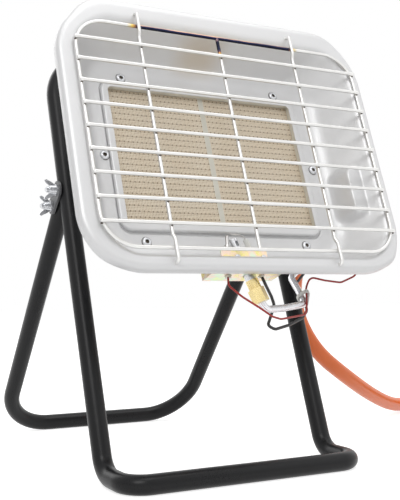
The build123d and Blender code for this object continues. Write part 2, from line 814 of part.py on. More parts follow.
# ---------------------------------------------------------------- gas valve with its knob
boss_left = valve_u + 2.8
boss_d = 18.0
screw_reach = 18.5
screw_d = 3.0
with BuildPart() as gas_valve:
    with BuildSketch(level(valve_top)):
        with Locations((valve_u, valve_w)):
            Circle(valve_d / 2)
    extrude(amount=valve_top - valve_bottom)
    with BuildSketch(head.offset(block_back)):
        with Locations((valve_u, (block_top + block_bottom) / 2)):
            Rectangle(valve_d, block_top - block_bottom)
    extrude(amount=block_front - block_back)
    with BuildSketch(across(valve_u)):
        with Locations((spindle_v, valve_w)):
            Circle(boss_d / 2)
    extrude(amount=panel_u - valve_u)
    with BuildSketch(across(panel_u)):
        with Locations((spindle_v, valve_w)):
            Circle(boss_d / 2)
        with Locations((spindle_v, valve_w - screw_reach), (spindle_v, valve_w + screw_reach)):
            Circle(4)
        make_hull()
    extrude(amount=-3)
    with BuildSketch(across(panel_u)):
        with Locations((spindle_v, valve_w)):
            Circle(plug_d / 2 + turn_clear)
    extrude(amount=boss_left - panel_u, mode=Mode.SUBTRACT)
    with BuildSketch(across(valve_u)):
        with Locations((spindle_v, valve_w)):
            Circle(stem_bore_d / 2)
    extrude(amount=boss_left - valve_u, mode=Mode.SUBTRACT)
    with BuildSketch(across(panel_u)):
        with Locations((spindle_v, valve_w - screw_reach), (spindle_v, valve_w + screw_reach)):
            Circle(screw_d / 2 + rivet_clear)
    extrude(amount=-3, mode=Mode.SUBTRACT)
    with BuildSketch(head.offset(block_back)):
        with Locations((valve_u, inlet_v)):
            Circle(5.05)
    extrude(amount=8, mode=Mode.SUBTRACT)
    with BuildSketch(head.offset(block_back)):
        with Locations((valve_u, venturi_v)):
            Circle(pipe_d / 2 + rivet_clear)
    extrude(amount=6, mode=Mode.SUBTRACT)
    with BuildSketch(level(block_bottom)):
        with Locations((valve_u - 5, (block_front + block_back) / 2)):
            Circle(pilot_tube_d / 2 + rivet_clear)
        with Locations((valve_u + 5, (block_front + block_back) / 2)):
            Circle(red_lead_d / 2 + rivet_clear)
    extrude(amount=-4, mode=Mode.SUBTRACT)
save(gas_valve.part, "gas_valve")

plug_left = boss_left + 0.2
plug_right = panel_u - 1.5
with BuildPart() as valve_plug:
    with BuildSketch(across(plug_left)):
        with Locations((spindle_v, valve_w)):
            Circle(plug_d / 2)
            Circle(spindle_d / 2 + slide_clear, mode=Mode.SUBTRACT)
    extrude(amount=plug_right - plug_left)
save(valve_plug.part, "valve_plug")

spindle_left = plug_left + knob_travel + 1.5     # stays in the plug when the knob is pressed
spindle_right = knob_left + 8
save(rod(at(spindle_left, spindle_v, valve_w), at(spindle_right, spindle_v, valve_w), spindle_d),
     "valve_spindle")

with BuildPart() as control_knob:
    with BuildSketch(across(knob_left)):
        with Locations((spindle_v, valve_w)):
            Circle(knob_d / 2)
    extrude(amount=5)
    with BuildSketch(across(knob_left + 5)):
        with Locations((spindle_v, valve_w)):
            SlotOverall(knob_d - 3, 9)
    extrude(amount=knob_right - knob_left - 5)
    chamfer(control_knob.faces().sort_by(Axis.X)[-1].edges(), 1)
    with BuildSketch(across(knob_left)):
        with Locations((spindle_v, valve_w)):
            Circle(spindle_d / 2 + rivet_clear)
    extrude(amount=8, mode=Mode.SUBTRACT)
save(control_knob.part, "control_knob")

# the plate behind the dish wall that carries the valve, the igniter and the tilt switch
panel_front = rim_face - 7.9
panel_back = -72.0
wall_slope = (rim_face - floor_at) / (opening_w / 2 - floor_u - floor_w / 2)


def wall_back(u):
    return wall_w(u - sheet) - sheet


with BuildPart() as valve_bracket:
    with BuildSketch(across(panel_u)):
        with Locations(((-56 + 16) / 2, (panel_front + panel_back) / 2)):
            RectangleRounded(72, panel_front - panel_back, 4)
    extrude(amount=panel_t)
    with BuildSketch(level(14)):
        with BuildLine():
            thick = panel_t * sqrt(1 + wall_slope ** 2)
            Polyline((panel_u + 0.5, wall_back(panel_u) - 1.2), (panel_u, wall_back(panel_u) - 0.1),
                     (panel_u - 10, wall_back(panel_u - 10) - 0.1),
                     (panel_u - 10, wall_back(panel_u - 10) - 0.1 - thick),
                     (panel_u + 0.5, wall_back(panel_u) - thick), close=True)
        make_face()
    extrude(amount=20)
    with BuildSketch(across(panel_u)):
        with Locations((spindle_v, valve_w)):
            Circle(neck_hole_d / 2)
        with Locations((spindle_v, valve_w - screw_reach), (spindle_v, valve_w + screw_reach)):
            Circle(screw_d / 2 + rivet_clear)
        with Locations((piezo_v, piezo_w)):
            Circle(piezo_d / 2 - 0.9)
    extrude(amount=panel_t, mode=Mode.SUBTRACT)
save(valve_bracket.part, "valve_bracket")


def valve_screw(w):
    with BuildPart() as screw:
        with BuildSketch(across(panel_u + panel_t)):
            with Locations((spindle_v, w)):
                Circle(2.3)
        extrude(amount=1.6)
        fillet(screw.faces().sort_by(Axis.X)[-1].edges(), 1)
        with BuildSketch(across(panel_u + panel_t)):
            with Locations((spindle_v, w)):
                Circle(screw_d / 2)
        extrude(amount=-panel_t - 3)
    return screw.part


save(Compound(children=[valve_screw(valve_w - screw_reach), valve_screw(valve_w + screw_reach)]),
     "valve_screws")

# ---------------------------------------------------------------- igniter and tilt switch
button_left = 132.0
button_right = 150.5
collar_right = panel_u + panel_t + 2
with BuildPart() as piezo_body:
    with BuildSketch(across(110)):
        with Locations((piezo_v, piezo_w)):
            Circle(piezo_d / 2)
    extrude(amount=panel_u - 110)
    with BuildSketch(across(panel_u)):
        with Locations((piezo_v, piezo_w)):
            Circle(piezo_d / 2 - 1)
    extrude(amount=panel_t)
    with BuildSketch(across(panel_u + panel_t)):
        with Locations((piezo_v, piezo_w)):
            Circle(piezo_d / 2 + 1.5)
    extrude(amount=2)
    with BuildSketch(across(collar_right)):
        with Locations((piezo_v, piezo_w)):
            Circle(button_d / 2 + button_clear)
    extrude(amount=button_left - button_travel - 0.5 - collar_right, mode=Mode.SUBTRACT)
save(piezo_body.part, "piezo_body")

with BuildPart() as piezo_button:
    with BuildSketch(across(button_left)):
        with Locations((piezo_v, piezo_w)):
            Circle(button_d / 2)
    extrude(amount=button_right - button_left)
    with BuildSketch(across(button_right - 6)):
        with Locations((piezo_v, piezo_w)):
            Circle(button_d / 2 + 1.5)
    extrude(amount=6)
    fillet(piezo_button.faces().sort_by(Axis.X)[-1].edges(), 1)
save(piezo_button.part, "piezo_button")

switch_u = 122.0
with BuildPart() as tilt_switch:
    with BuildSketch(head.offset(-72)):
        with Locations(((switch_u + panel_u) / 2, -8)):
            Rectangle(panel_u - switch_u, 20)
    extrude(amount=12)
    fillet(tilt_switch.edges().filter_by(outward), 1.5)
save(tilt_switch.part, "tilt_switch")
switch_lead = tube_along(
    [at(switch_u, -10, -66), at(114.5, -10, -66), at(114.5, -34, -66), at(114.5, -34, block_back)],
    [4, 5], red_lead_d)
save(switch_lead, "switch_lead")


# ---------------------------------------------------------------- pilot flame group
slant = radians(pilot_slant)


def pilot_at(t, aside=0.0):
    # t down the pilot burner's axis from its hood
    return at(pilot_top_u + t * sin(slant) + aside, pilot_top_v - t * cos(slant), pilot_w)


def bends(points, share, most):
    # radii that leave a straight stretch between neighbouring corners
    radii = []
    for before, corner, after in zip(points, points[1:], points[2:]):
        arriving = corner - before
        leaving = after - corner
        half = radians(arriving.get_angle(leaving)) / 2
        run = min(arriving.length, leaving.length)
        radii.append(min(share * run / tan(half), most))
    return radii


probe_top = at(-17.4, -78, pilot_w)
probe_dir = (at(-23.4, -112, pilot_w) - probe_top).normalized()
stick_top = at(-0.3, -81.5, pilot_w)
stick_dir = (at(5.9, -104.5, pilot_w) - stick_top).normalized()
stick_end = stick_top + stick_dir * 34


def shelf_cross(top, way):
    # where a rod goes through the shelf
    down = (top - at(0, shelf_v, pilot_w)).dot(head.y_dir) / -way.dot(head.y_dir)
    return head.to_local_coords(top + way * down).X


pilot_way = (pilot_at(1) - pilot_at(0)).normalized()
with BuildPart() as pilot_bracket:
    with BuildSketch(level(shelf_v)):
        with Locations(((shelf_left + shelf_right) / 2, (shelf_front + shelf_back) / 2)):
            Rectangle(shelf_right - shelf_left, shelf_front - shelf_back)
        with Locations((shelf_cross(pilot_at(0), pilot_way), pilot_w)):
            Circle(5.4, mode=Mode.SUBTRACT)
        with Locations((shelf_cross(probe_top, probe_dir), pilot_w)):
            Circle(2.9, mode=Mode.SUBTRACT)
        with Locations((shelf_cross(stick_top, stick_dir), pilot_w)):
            Circle(2.7, mode=Mode.SUBTRACT)
    extrude(amount=bracket_t)
    with BuildSketch(head.offset(face_w)):
        with Locations(((face_left + face_right) / 2, (face_top + shelf_v) / 2)):
            Rectangle(face_right - face_left, face_top - shelf_v)
    extrude(amount=-bracket_t)
    for start in (shelf_left, shelf_right - bracket_t):
        with BuildSketch(across(start)):
            with BuildLine():
                Polyline((shelf_v, shelf_back), (-94.2, shelf_back), (-96.4, slot_back), (-104, -26),
                         (shelf_v, -26), close=True)
            make_face()
        extrude(amount=bracket_t)
    screw_spots = [(-15.8, -100.2), (9.0, -100.4)]
    with BuildSketch(head.offset(face_w)):
        with Locations(*screw_spots):
            Circle(screw_d / 2 + rivet_clear)
    extrude(amount=-bracket_t, mode=Mode.SUBTRACT)
save(pilot_bracket.part, "pilot_bracket")


def pilot_screw(u, v):
    with BuildPart() as screw:
        with BuildSketch(head.offset(face_w)):
            with Locations((u, v)):
                Circle(2.75)
        extrude(amount=1.8)
        fillet(screw.faces().sort_by(outward)[-1].edges(), 1.2)
        with BuildSketch(head.offset(face_w)):
            with Locations((u, v)):
                Circle(screw_d / 2)
        extrude(amount=-bracket_t - 2)
    return screw.part


save(Compound(children=[pilot_screw(u, v) for u, v in screw_spots]), "pilot_screws")

fitting_d = 10.5
nut_start = 41.0
nut_end = 53.0
thread_end = 45.0
with BuildPart() as pilot_burner:
    for start, end, size in ((-4, 6, 7.4), (6, 24, 5.0), (24, 33, 9.5)):
        with BuildSketch(aim(pilot_at(start), pilot_at(end))):
            Circle(size / 2)
        extrude(amount=end - start)
    with BuildSketch(aim(pilot_at(-4), pilot_at(6))):
        Circle(2.9)
    extrude(amount=8, mode=Mode.SUBTRACT)
    with BuildSketch(Plane(origin=pilot_at(1), x_dir=pilot_way, z_dir=head.z_dir)):
        SlotOverall(5, 2.6)
    extrude(amount=6, both=True, mode=Mode.SUBTRACT)
save(pilot_burner.part, "pilot_burner")

with BuildPart() as pilot_fitting:
    with BuildSketch(aim(pilot_at(33), pilot_at(34))):
        Circle(fitting_d / 2)
        Circle(1.0, mode=Mode.SUBTRACT)
    extrude(amount=nut_start - 33)
    with BuildSketch(aim(pilot_at(nut_start), pilot_at(nut_end))):
        Circle(4)
        Circle(1.0, mode=Mode.SUBTRACT)
    extrude(amount=thread_end - nut_start)
save(pilot_fitting.part, "pilot_fitting")

with BuildPart() as pilot_nut:
    with BuildSketch(aim(pilot_at(nut_start), pilot_at(nut_end))):
        RegularPolygon(6.0, 6, major_radius=False)
        Circle(pilot_tube_d / 2 + rivet_clear, mode=Mode.SUBTRACT)
    extrude(amount=nut_end - nut_start)
    with BuildSketch(aim(pilot_at(nut_start), pilot_at(nut_end))):
        Circle(4 + rivet_clear)
    extrude(amount=thread_end - nut_start + 0.3, mode=Mode.SUBTRACT)
save(pilot_nut.part, "pilot_nut")

with BuildPart() as thermocouple:
    with BuildSketch(aim(probe_top, probe_top + probe_dir)):
        Circle(1.5)
    extrude(amount=9)
    fillet(thermocouple.faces().sort_by(Axis(probe_top, probe_dir))[0].edges(), 1.0)
    with BuildSketch(aim(probe_top + probe_dir * 9, probe_top + probe_dir * 10)):
        Circle(2.5)
    extrude(amount=29)
save(thermocouple.part, "thermocouple")

electrode_d = 1.2
save(rod(stick_top, stick_end, 4.6, electrode_d + 0.1), "electrode_insulator")
spark_route = [stick_top + stick_dir * 20, stick_top - stick_dir * 2.2, at(-4.8, -77.2, pilot_w),
               at(-14.8, -76.6, pilot_w)]
save(tube_along(spark_route, [1.2, 3.0], electrode_d), "ignition_electrode")

pilot_route = [pilot_at(45.5), pilot_at(59.5), at(30, -138, -36), at(63, -130, -50), at(67.2, -114.6, -60),
               at(72.7, -95.8, -75), at(84, -88, -76), at(108, -88, -60),
               at(valve_u - 5, -80, (block_front + block_back) / 2),
               at(valve_u - 5, block_bottom + 3, (block_front + block_back) / 2)]
save(tube_along(pilot_route, bends(pilot_route, 0.4, 9.0), pilot_tube_d, 4.0), "pilot_gas_tube")

probe_end = probe_top + probe_dir * 38
red_route = [probe_end, probe_end + probe_dir * 6, at(-14.1, -131.2, -26), at(-3.8, -142.6, -20),
             at(9.3, -149, -24),
             at(20.6, -149.7, -29), at(56.4, -141.9, -42), at(62.9, -128.7, -46), at(70.4, -113.4, -53),
             at(75.3, -104.9, -50), at(88.5, -108.8, -48), at(105.8, -110.8, -48),
             at(valve_u + 5, -103, (block_front + block_back) / 2),
             at(valve_u + 5, block_bottom + 2, (block_front + block_back) / 2)]
save(tube_along(red_route, bends(red_route, 0.42, 12.0), red_lead_d), "thermocouple_lead")

black_route = [stick_end, stick_end + stick_dir * 6, at(22, -127, -38), at(28.8, -132.5, -46),
               at(23.5, -140.5, -46),
               at(14, -151.3, -40), at(20, -155, -40), at(38.1, -150.1, -45), at(58.5, -142, -52),
               at(69, -133.4, -56), at(70, -118, -62), at(76, -104, -79), at(100, -84, -84),
               at(104, -40, -72),
               at(104, piezo_v, -60), at(104, piezo_v, piezo_w), at(110, piezo_v, piezo_w)]
save(tube_along(black_route, bends(black_route, 0.42, 10.0), black_lead_d), "ignition_lead")

# one tie holds the pilot tube and both leads together
tie_middle = (pilot_route[3] + pilot_route[4]) * 0.5
tie_plane = Plane(origin=tie_middle, z_dir=pilot_route[4] - pilot_route[3])


def tie_cross(start, end):
    reach = (tie_middle - start).dot(tie_plane.z_dir) / (end - start).dot(tie_plane.z_dir)
    spot = tie_plane.to_local_coords(start + (end - start) * reach)
    return (spot.X, spot.Y)


tie_width = 3.5
held = [(tie_cross(pilot_route[3], pilot_route[4]), pilot_tube_d / 2 + 0.3),
        (tie_cross(red_route[7], red_route[8]), red_lead_d / 2 + 0.8),
        (tie_cross(black_route[9], black_route[10]), black_lead_d / 2 + 0.8)]
with BuildPart() as cable_tie:
    with BuildSketch(tie_plane.offset(-tie_width / 2)):
        for spot, size in held:
            with Locations(spot):
                Circle(size + 1.1)
        make_hull()
    extrude(amount=tie_width)
    with BuildSketch(tie_plane.offset(-tie_width / 2)):
        for spot, size in held:
            with Locations(spot):
                Circle(size)
        make_hull()
    extrude(amount=tie_width, mode=Mode.SUBTRACT)
save(cable_tie.part, "cable_tie")

# ---------------------------------------------------------------- hose, with both its ends
inlet_bore = 5.0
with BuildPart() as hose_inlet:
    with BuildSketch(head.offset(block_back)):
        with Locations((valve_u, inlet_v)):
            Circle(5)
    extrude(amount=8)
    with BuildSketch(head.offset(block_back)):
        with Locations((valve_u, inlet_v)):
            RegularPolygon(8.5, 6, major_radius=False)
    extrude(amount=-9)
    with BuildSketch(head.offset(block_back - 9)):
        with Locations((valve_u, inlet_v)):
            Circle(6)
    extrude(amount=inlet_w - block_back + 9)
    with BuildSketch(head.offset(inlet_w)):
        with Locations((valve_u, inlet_v)):
            Circle(spigot_d / 2)
    extrude(amount=-spigot_length)
    with BuildSketch(head.offset(block_back + 8)):
        with Locations((valve_u, inlet_v)):
            Circle(inlet_bore / 2)
    extrude(amount=inlet_w - spigot_length - block_back - 8, mode=Mode.SUBTRACT)
save(hose_inlet.part, "hose_inlet")


def ferrule(start, way, neck):
    # crimped cup: a closed lip over the nipple's neck, then a sleeve round the hose
    with BuildPart() as cup:
        with BuildSketch(aim(start - way * 1.5, start)):
            Circle(ferrule_d / 2)
            Circle(neck / 2 + ferrule_gap, mode=Mode.SUBTRACT)
        extrude(amount=1.5)
        with BuildSketch(aim(start, start + way)):
            Circle(ferrule_d / 2)
            Circle(hose_d / 2 + ferrule_gap, mode=Mode.SUBTRACT)
        extrude(amount=19)
    return cup.part


def floor_point(x, y, z):
    # y behind the line where the leg axes meet the floor
    return Vector(x, y + foot_y, z)


lie = hose_d / 2
hose_start = at(valve_u, inlet_v, inlet_w)
hose_route = [hose_start, at(valve_u, inlet_v, inlet_w - 38.5), floor_point(128, 78, 171),
              floor_point(137, 91.5, 140.5), floor_point(150, 95, 113), floor_point(173, 97, 86),
              floor_point(212, 105, 62), floor_point(270, 135, 36), floor_point(334, 174, 15),
              floor_point(384, 205, lie), floor_point(424, 227, lie),
              floor_point(coil_x - 30, coil_y + coil_r, lie),
              floor_point(coil_x, coil_y + coil_r, lie)]
hose_bends = bends(hose_route, 0.45, 400.0)
print("hose radii", [round(r) for r in hose_bends])
gas_hose = tube_along(hose_route, hose_bends, hose_d, hose_bore)
save(gas_hose, "gas_hose")
save(ferrule(hose_start, -head.z_dir, 12.0), "inlet_ferrule")


def coil_point(turn):
    # turn in degrees, clockwise from the back; flat, then up over itself, then flat again
    share = min(max((turn - 180) / 180, 0), 1)
    rise = coil_lift * share * share * (3 - 2 * share)
    angle = radians(turn)
    return floor_point(coil_x + coil_r * sin(angle), coil_y + coil_r * cos(angle), lie + rise)


def coil_way(turn):
    angle = radians(turn)
    climb = coil_lift * 1.5 / pi / coil_r if turn == 270 else 0
    return Vector(cos(angle), -sin(angle), climb).normalized()


def biarc(start, start_way, end, end_way):
    # two arcs that leave and arrive along the given directions
    chord = end - start
    both = start_way + end_way
    spread = 2 * (1 - start_way.dot(end_way))
    reach = (-chord.dot(both) + sqrt(chord.dot(both) ** 2 + spread * chord.dot(chord))) / spread
    joint = (start + end + (start_way - end_way) * reach) * 0.5
    TangentArc(start, joint, tangent=start_way)
    TangentArc(joint, end, tangent=(end - end_way * reach - start - start_way * reach))


turns = [0, 90, 180, 270, 360, 450]
with BuildPart() as hose_coil:
    with BuildLine() as loop:
        for first, last in zip(turns, turns[1:]):
            biarc(coil_point(first), coil_way(first), coil_point(last), coil_way(last))
        Line(coil_point(450), coil_point(450) + coil_way(450) * 16)
    with BuildSketch(Plane(origin=coil_point(0), z_dir=coil_way(0))):
        Circle(hose_d / 2)
        Circle(hose_bore / 2, mode=Mode.SUBTRACT)
    sweep(path=loop.line)
save(hose_coil.part, "hose_coil")
coil_wire = loop.wires()[0]
trail = [coil_wire @ (k / 300) for k in range(301)]
least = min((p - q).length for i, p in enumerate(trail) for q in trail[i + 60:]) - hose_d
print("coil self gap", round(least, 2), "length", round(coil_wire.length, 1))

tail_start = coil_point(450) + coil_way(450) * 16
tail_x = coil_x + coil_r
tail_y = coil_y - 16
tail_route = [tail_start, floor_point(tail_x, tail_y - 36, lie + coil_lift),
              floor_point(tail_x, tail_y - 74, end_z),
              floor_point(tail_x, tail_y - 111, end_z)]
tail_bends = bends(tail_route, 0.45, 400.0)
print("tail radii", [round(r) for r in tail_bends])
hose_tail = tube_along(tail_route, tail_bends, hose_d, hose_bore)
save(hose_tail, "hose_tail")
print("hose length", round(gas_hose.volume / pi / (hose_d ** 2 - hose_bore ** 2) * 4),
      round(hose_tail.volume / pi / (hose_d ** 2 - hose_bore ** 2) * 4))

front = Vector(0, -1, 0)
tail_end = tail_route[-1]
save(ferrule(tail_end, -front, 10.5), "end_ferrule")

with BuildPart() as hose_end_fitting:
    for start, end, size in ((-spigot_length, 0, spigot_d), (0, 12, 10.5), (12, 14, 11.3), (14, 16, 9.0)):
        with BuildSketch(Plane(origin=tail_end + front * start, z_dir=front)):
            Circle(size / 2)
        extrude(amount=end - start)
    chamfer(hose_end_fitting.faces().sort_by(Axis.Y)[0].edges(), 1.2)
    with BuildSketch(Plane(origin=tail_end - front * spigot_length, z_dir=front)):
        Circle(inlet_bore / 2)
    extrude(amount=spigot_length + 16, mode=Mode.SUBTRACT)
save(hose_end_fitting.part, "hose_end_fitting")

collar_in = tail_end + front * 9.5
with BuildPart() as cylinder_nut:
    with BuildSketch(Plane(origin=collar_in, z_dir=front)):
        RegularPolygon(nut_af / 2, 6, major_radius=False)
        Circle(5.25 + nut_clear, mode=Mode.SUBTRACT)
    extrude(amount=nut_length)
    with BuildSketch(Plane(origin=collar_in + front * (nut_length - thread_length), z_dir=front)):
        Circle(thread_r)
    extrude(amount=thread_length, mode=Mode.SUBTRACT)
    with BuildSketch(Plane(origin=collar_in + front * 2.4, z_dir=front)):
        Circle(relief_r)
    extrude(amount=nut_length - thread_length - 2.4, mode=Mode.SUBTRACT)
save(cylinder_nut.part, "cylinder_nut")
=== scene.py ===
import json
import bmesh
import bpy
from math import cos, pi, radians, sin, tan
from mathutils import Matrix, Vector


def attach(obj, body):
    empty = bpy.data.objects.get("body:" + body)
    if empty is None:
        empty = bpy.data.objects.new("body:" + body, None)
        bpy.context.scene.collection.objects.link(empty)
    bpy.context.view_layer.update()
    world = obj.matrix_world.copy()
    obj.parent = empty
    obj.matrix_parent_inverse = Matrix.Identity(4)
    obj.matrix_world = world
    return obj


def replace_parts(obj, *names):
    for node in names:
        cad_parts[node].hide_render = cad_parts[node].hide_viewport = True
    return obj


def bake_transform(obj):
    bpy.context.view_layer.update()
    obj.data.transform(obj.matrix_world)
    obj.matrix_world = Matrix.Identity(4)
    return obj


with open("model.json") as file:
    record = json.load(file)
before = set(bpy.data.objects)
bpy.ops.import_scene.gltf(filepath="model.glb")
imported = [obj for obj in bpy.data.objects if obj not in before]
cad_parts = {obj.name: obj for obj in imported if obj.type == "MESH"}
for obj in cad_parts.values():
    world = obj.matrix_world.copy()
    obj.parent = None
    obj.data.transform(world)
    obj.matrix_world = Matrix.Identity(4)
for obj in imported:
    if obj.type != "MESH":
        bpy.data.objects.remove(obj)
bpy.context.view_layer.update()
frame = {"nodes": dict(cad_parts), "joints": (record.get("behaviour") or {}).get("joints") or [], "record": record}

print("frame loaded")

# the heater leans with its legs; places on it are given as u right, v up, w out, in millimetres
heater = {
    "lean": radians(20.5),
    "pivotUp": 8.0,
    "pivotBehind": 130.0,
    "tiltAlong": 261.0,
}
mm = 0.001
upLean = Vector((0, sin(heater["lean"]), cos(heater["lean"])))
outLean = Vector((0, -cos(heater["lean"]), sin(heater["lean"])))
joints = {joint["name"]: joint for joint in frame["joints"]}
tiltBolt = Vector(joints["head_tilt"]["pos_m"])
headMiddle = tiltBolt - upLean * heater["pivotUp"] * mm + outLean * heater["pivotBehind"] * mm
headFrame = Matrix.Identity(4)
for row in range(3):
    headFrame[row][1] = upLean[row]
    headFrame[row][2] = outLean[row]
    headFrame[row][3] = headMiddle[row]
footY = tiltBolt.y - heater["tiltAlong"] * mm * sin(heater["lean"])


def onHead(u, v, w):
    return headFrame @ Vector((u * mm, v * mm, w * mm))


def onFloor(x, y, z):
    # y behind the line where the leg axes meet the floor
    return Vector((x * mm, footY + y * mm, z * mm))


def newGroup(name, inputs, outputs):
    group = bpy.data.node_groups.new(name, "ShaderNodeTree")
    for label, kind, value in inputs:
        socket = group.interface.new_socket(name=label, in_out="INPUT", socket_type=kind)
        socket.default_value = value
    for label, kind in outputs:
        group.interface.new_socket(name=label, in_out="OUTPUT", socket_type=kind)
    nodes = group.nodes
    return group, nodes, group.links, nodes.new("NodeGroupInput"), nodes.new("NodeGroupOutput")


def mathNode(nodes, links, operation, first, second=None):
    node = nodes.new("ShaderNodeMath")
    node.operation = operation
    for socket, value in zip(node.inputs, (first, second)):
        if value is None:
            continue
        if isinstance(value, (int, float)):
            socket.default_value = value
        else:
            links.new(value, socket)
    return node.outputs[0]


def mixColour(nodes, links, factor, first, second):
    node = nodes.new("ShaderNodeMix")
    node.data_type = "RGBA"
    for socket, value in ((node.inputs[0], factor), (node.inputs[6], first), (node.inputs[7], second)):
        if isinstance(value, (int, float, tuple)):
            socket.default_value = value
        else:
            links.new(value, socket)
    return node.outputs[2]


def anyOf(nodes, links, *sockets):
    # one where any of the masks is one
    mask = sockets[0]
    for socket in sockets[1:]:
        mask = mathNode(nodes, links, "MAXIMUM", mask, socket)
    return mask


def mapRange(nodes, links, value, first, last):
    # nought at first and one at last
    spread = nodes.new("ShaderNodeMapRange")
    spread.inputs["From Min"].default_value = first
    spread.inputs["From Max"].default_value = last
    links.new(value, spread.inputs["Value"])
    return spread.outputs["Result"]


view = {
    "place": onFloor(-386.4, -665.0, 162.1),
    "yaw": radians(28.67),
    "pitch": radians(2.08),
    "lens": 64.13,
    "sensor": 36,
    "seesTo": 20,
}


def makeCamera():
    camera = bpy.data.objects.new("camera", bpy.data.cameras.new("camera"))
    bpy.context.collection.objects.link(camera)
    camera.data.sensor_width = view["sensor"]
    camera.data.lens = view["lens"]
    camera.data.clip_end = view["seesTo"]
    camera.location = view["place"]
    level = cos(view["pitch"])
    ahead = Vector((sin(view["yaw"]) * level, cos(view["yaw"]) * level, sin(view["pitch"])))
    camera.rotation_euler = ahead.to_track_quat("-Z", "Y").to_euler()
    bpy.context.scene.camera = camera


lamps = {
    "key": {"at": (-1.2, -1.7, 1.9), "size": 1.2, "power": 19},
    "fill": {"at": (1.7, -1.3, 1.3), "size": 1.8, "power": 4},
    "top": {"at": (0.3, -0.3, 2.4), "size": 1.6, "power": 17.5},
    "back": {"at": (-0.5, 1.8, 1.2), "size": 1.4, "power": 8},
}
lampAim = Vector((0, -0.02, 0.2))


def makeLamps():
    for name, lamp in lamps.items():
        data = bpy.data.lights.new(name, "AREA")
        data.size = lamp["size"]
        data.energy = lamp["power"]
        light = bpy.data.objects.new(name, data)
        light.location = lamp["at"]
        light.rotation_euler = (lampAim - light.location).to_track_quat("-Z", "Y").to_euler()
        bpy.context.collection.objects.link(light)


studio = {"light": 0.38, "seenLight": 1.0, "floorColour": 0.72, "floorGlow": 0.75, "floorSize": 8.0,
          "floorRough": 0.9, "floorShine": 0.1}


def makeWorld():
    # white to the eye and in reflections, but dim as a source of light
    world = bpy.data.worlds.new("studio")
    bpy.context.scene.world = world
    world.use_nodes = True
    nodes, links = world.node_tree.nodes, world.node_tree.links
    background = nodes["Background"]
    background.inputs["Color"].default_value = (1, 1, 1, 1)
    rays = nodes.new("ShaderNodeLightPath")
    kinds = ("Is Camera Ray", "Is Glossy Ray", "Is Transmission Ray")
    seen = anyOf(nodes, links, *(rays.outputs[kind] for kind in kinds))
    strength = nodes.new("ShaderNodeMapRange")
    strength.inputs["To Min"].default_value = studio["light"]
    strength.inputs["To Max"].default_value = studio["seenLight"]
    links.new(seen, strength.inputs["Value"])
    links.new(strength.outputs["Result"], background.inputs["Strength"])


def makeFloor():
    # pale floor that adds a glow of its own only where it is seen
    half = studio["floorSize"] / 2
    mesh = bpy.data.meshes.new("floor")
    corners = [(-half, -half, 0), (half, -half, 0), (half, half, 0), (-half, half, 0)]
    mesh.from_pydata(corners, [], [(0, 1, 2, 3)])
    floor = bpy.data.objects.new("floor", mesh)
    bpy.context.collection.objects.link(floor)
    material = bpy.data.materials.new("paleFloor")
    material.use_nodes = True
    nodes, links = material.node_tree.nodes, material.node_tree.links
    shader = nodes["Principled BSDF"]
    shader.inputs["Base Color"].default_value = (*[studio["floorColour"]] * 3, 1)
    shader.inputs["Roughness"].default_value = studio["floorRough"]
    shader.inputs["Specular IOR Level"].default_value = studio["floorShine"]
    glow = nodes.new("ShaderNodeEmission")
    glow.inputs["Strength"].default_value = studio["floorGlow"]
    both = nodes.new("ShaderNodeAddShader")
    rays = nodes.new("ShaderNodeLightPath")
    choose = nodes.new("ShaderNodeMixShader")
    seen = anyOf(nodes, links, rays.outputs["Is Camera Ray"], rays.outputs["Is Glossy Ray"])
    links.new(seen, choose.inputs[0])
    links.new(shader.outputs[0], choose.inputs[1])
    links.new(shader.outputs[0], both.inputs[0])
    links.new(glow.outputs[0], both.inputs[1])
    links.new(both.outputs[0], choose.inputs[2])
    links.new(choose.outputs[0], nodes["Material Output"].inputs["Surface"])
    mesh.materials.append(material)


makeCamera()
makeLamps()
makeWorld()
makeFloor()
bpy.context.scene.view_settings.view_transform = "Standard"
print("camera and studio made")

effects = {"mottle": {"Scale": 18.0, "Grain": 900.0, "Low": 0.3, "High": 0.5}, "cloudDetail": 4,
           "grainDetail": 2, "spread": (0.7, 1.3), "edge": (0.52, 0.62), "coatRough": 0.25,
           "grainDepth": 0.0003}


def makeMottle():
    # slow change of tone over a surface, with a finer grain on it
    group, nodes, links, given, result = newGroup(
        "mottle",
        [(label, "NodeSocketFloat", value) for label, value in effects["mottle"].items()],
        [(label, "NodeSocketFloat") for label in ("Value", "Grain", "Cloud")])
    place = nodes.new("ShaderNodeTexCoord")
    cloud = nodes.new("ShaderNodeTexNoise")
    cloud.inputs["Detail"].default_value = effects["cloudDetail"]
    grain = nodes.new("ShaderNodeTexNoise")
    grain.inputs["Detail"].default_value = effects["grainDetail"]
    for noise, scale in ((cloud, "Scale"), (grain, "Grain")):
        links.new(place.outputs["Object"], noise.inputs["Vector"])
        links.new(given.outputs[scale], noise.inputs["Scale"])
    both = mathNode(nodes, links, "ADD", cloud.outputs["Fac"], grain.outputs["Fac"])
    spread = nodes.new("ShaderNodeMapRange")
    spread.inputs["From Min"].default_value, spread.inputs["From Max"].default_value = effects["spread"]
    links.new(both, spread.inputs["Value"])
    links.new(given.outputs["Low"], spread.inputs["To Min"])
    links.new(given.outputs["High"], spread.inputs["To Max"])
    links.new(spread.outputs["Result"], result.inputs["Value"])
    links.new(grain.outputs["Fac"], result.inputs["Grain"])
    links.new(cloud.outputs["Fac"], result.inputs["Cloud"])
    return group


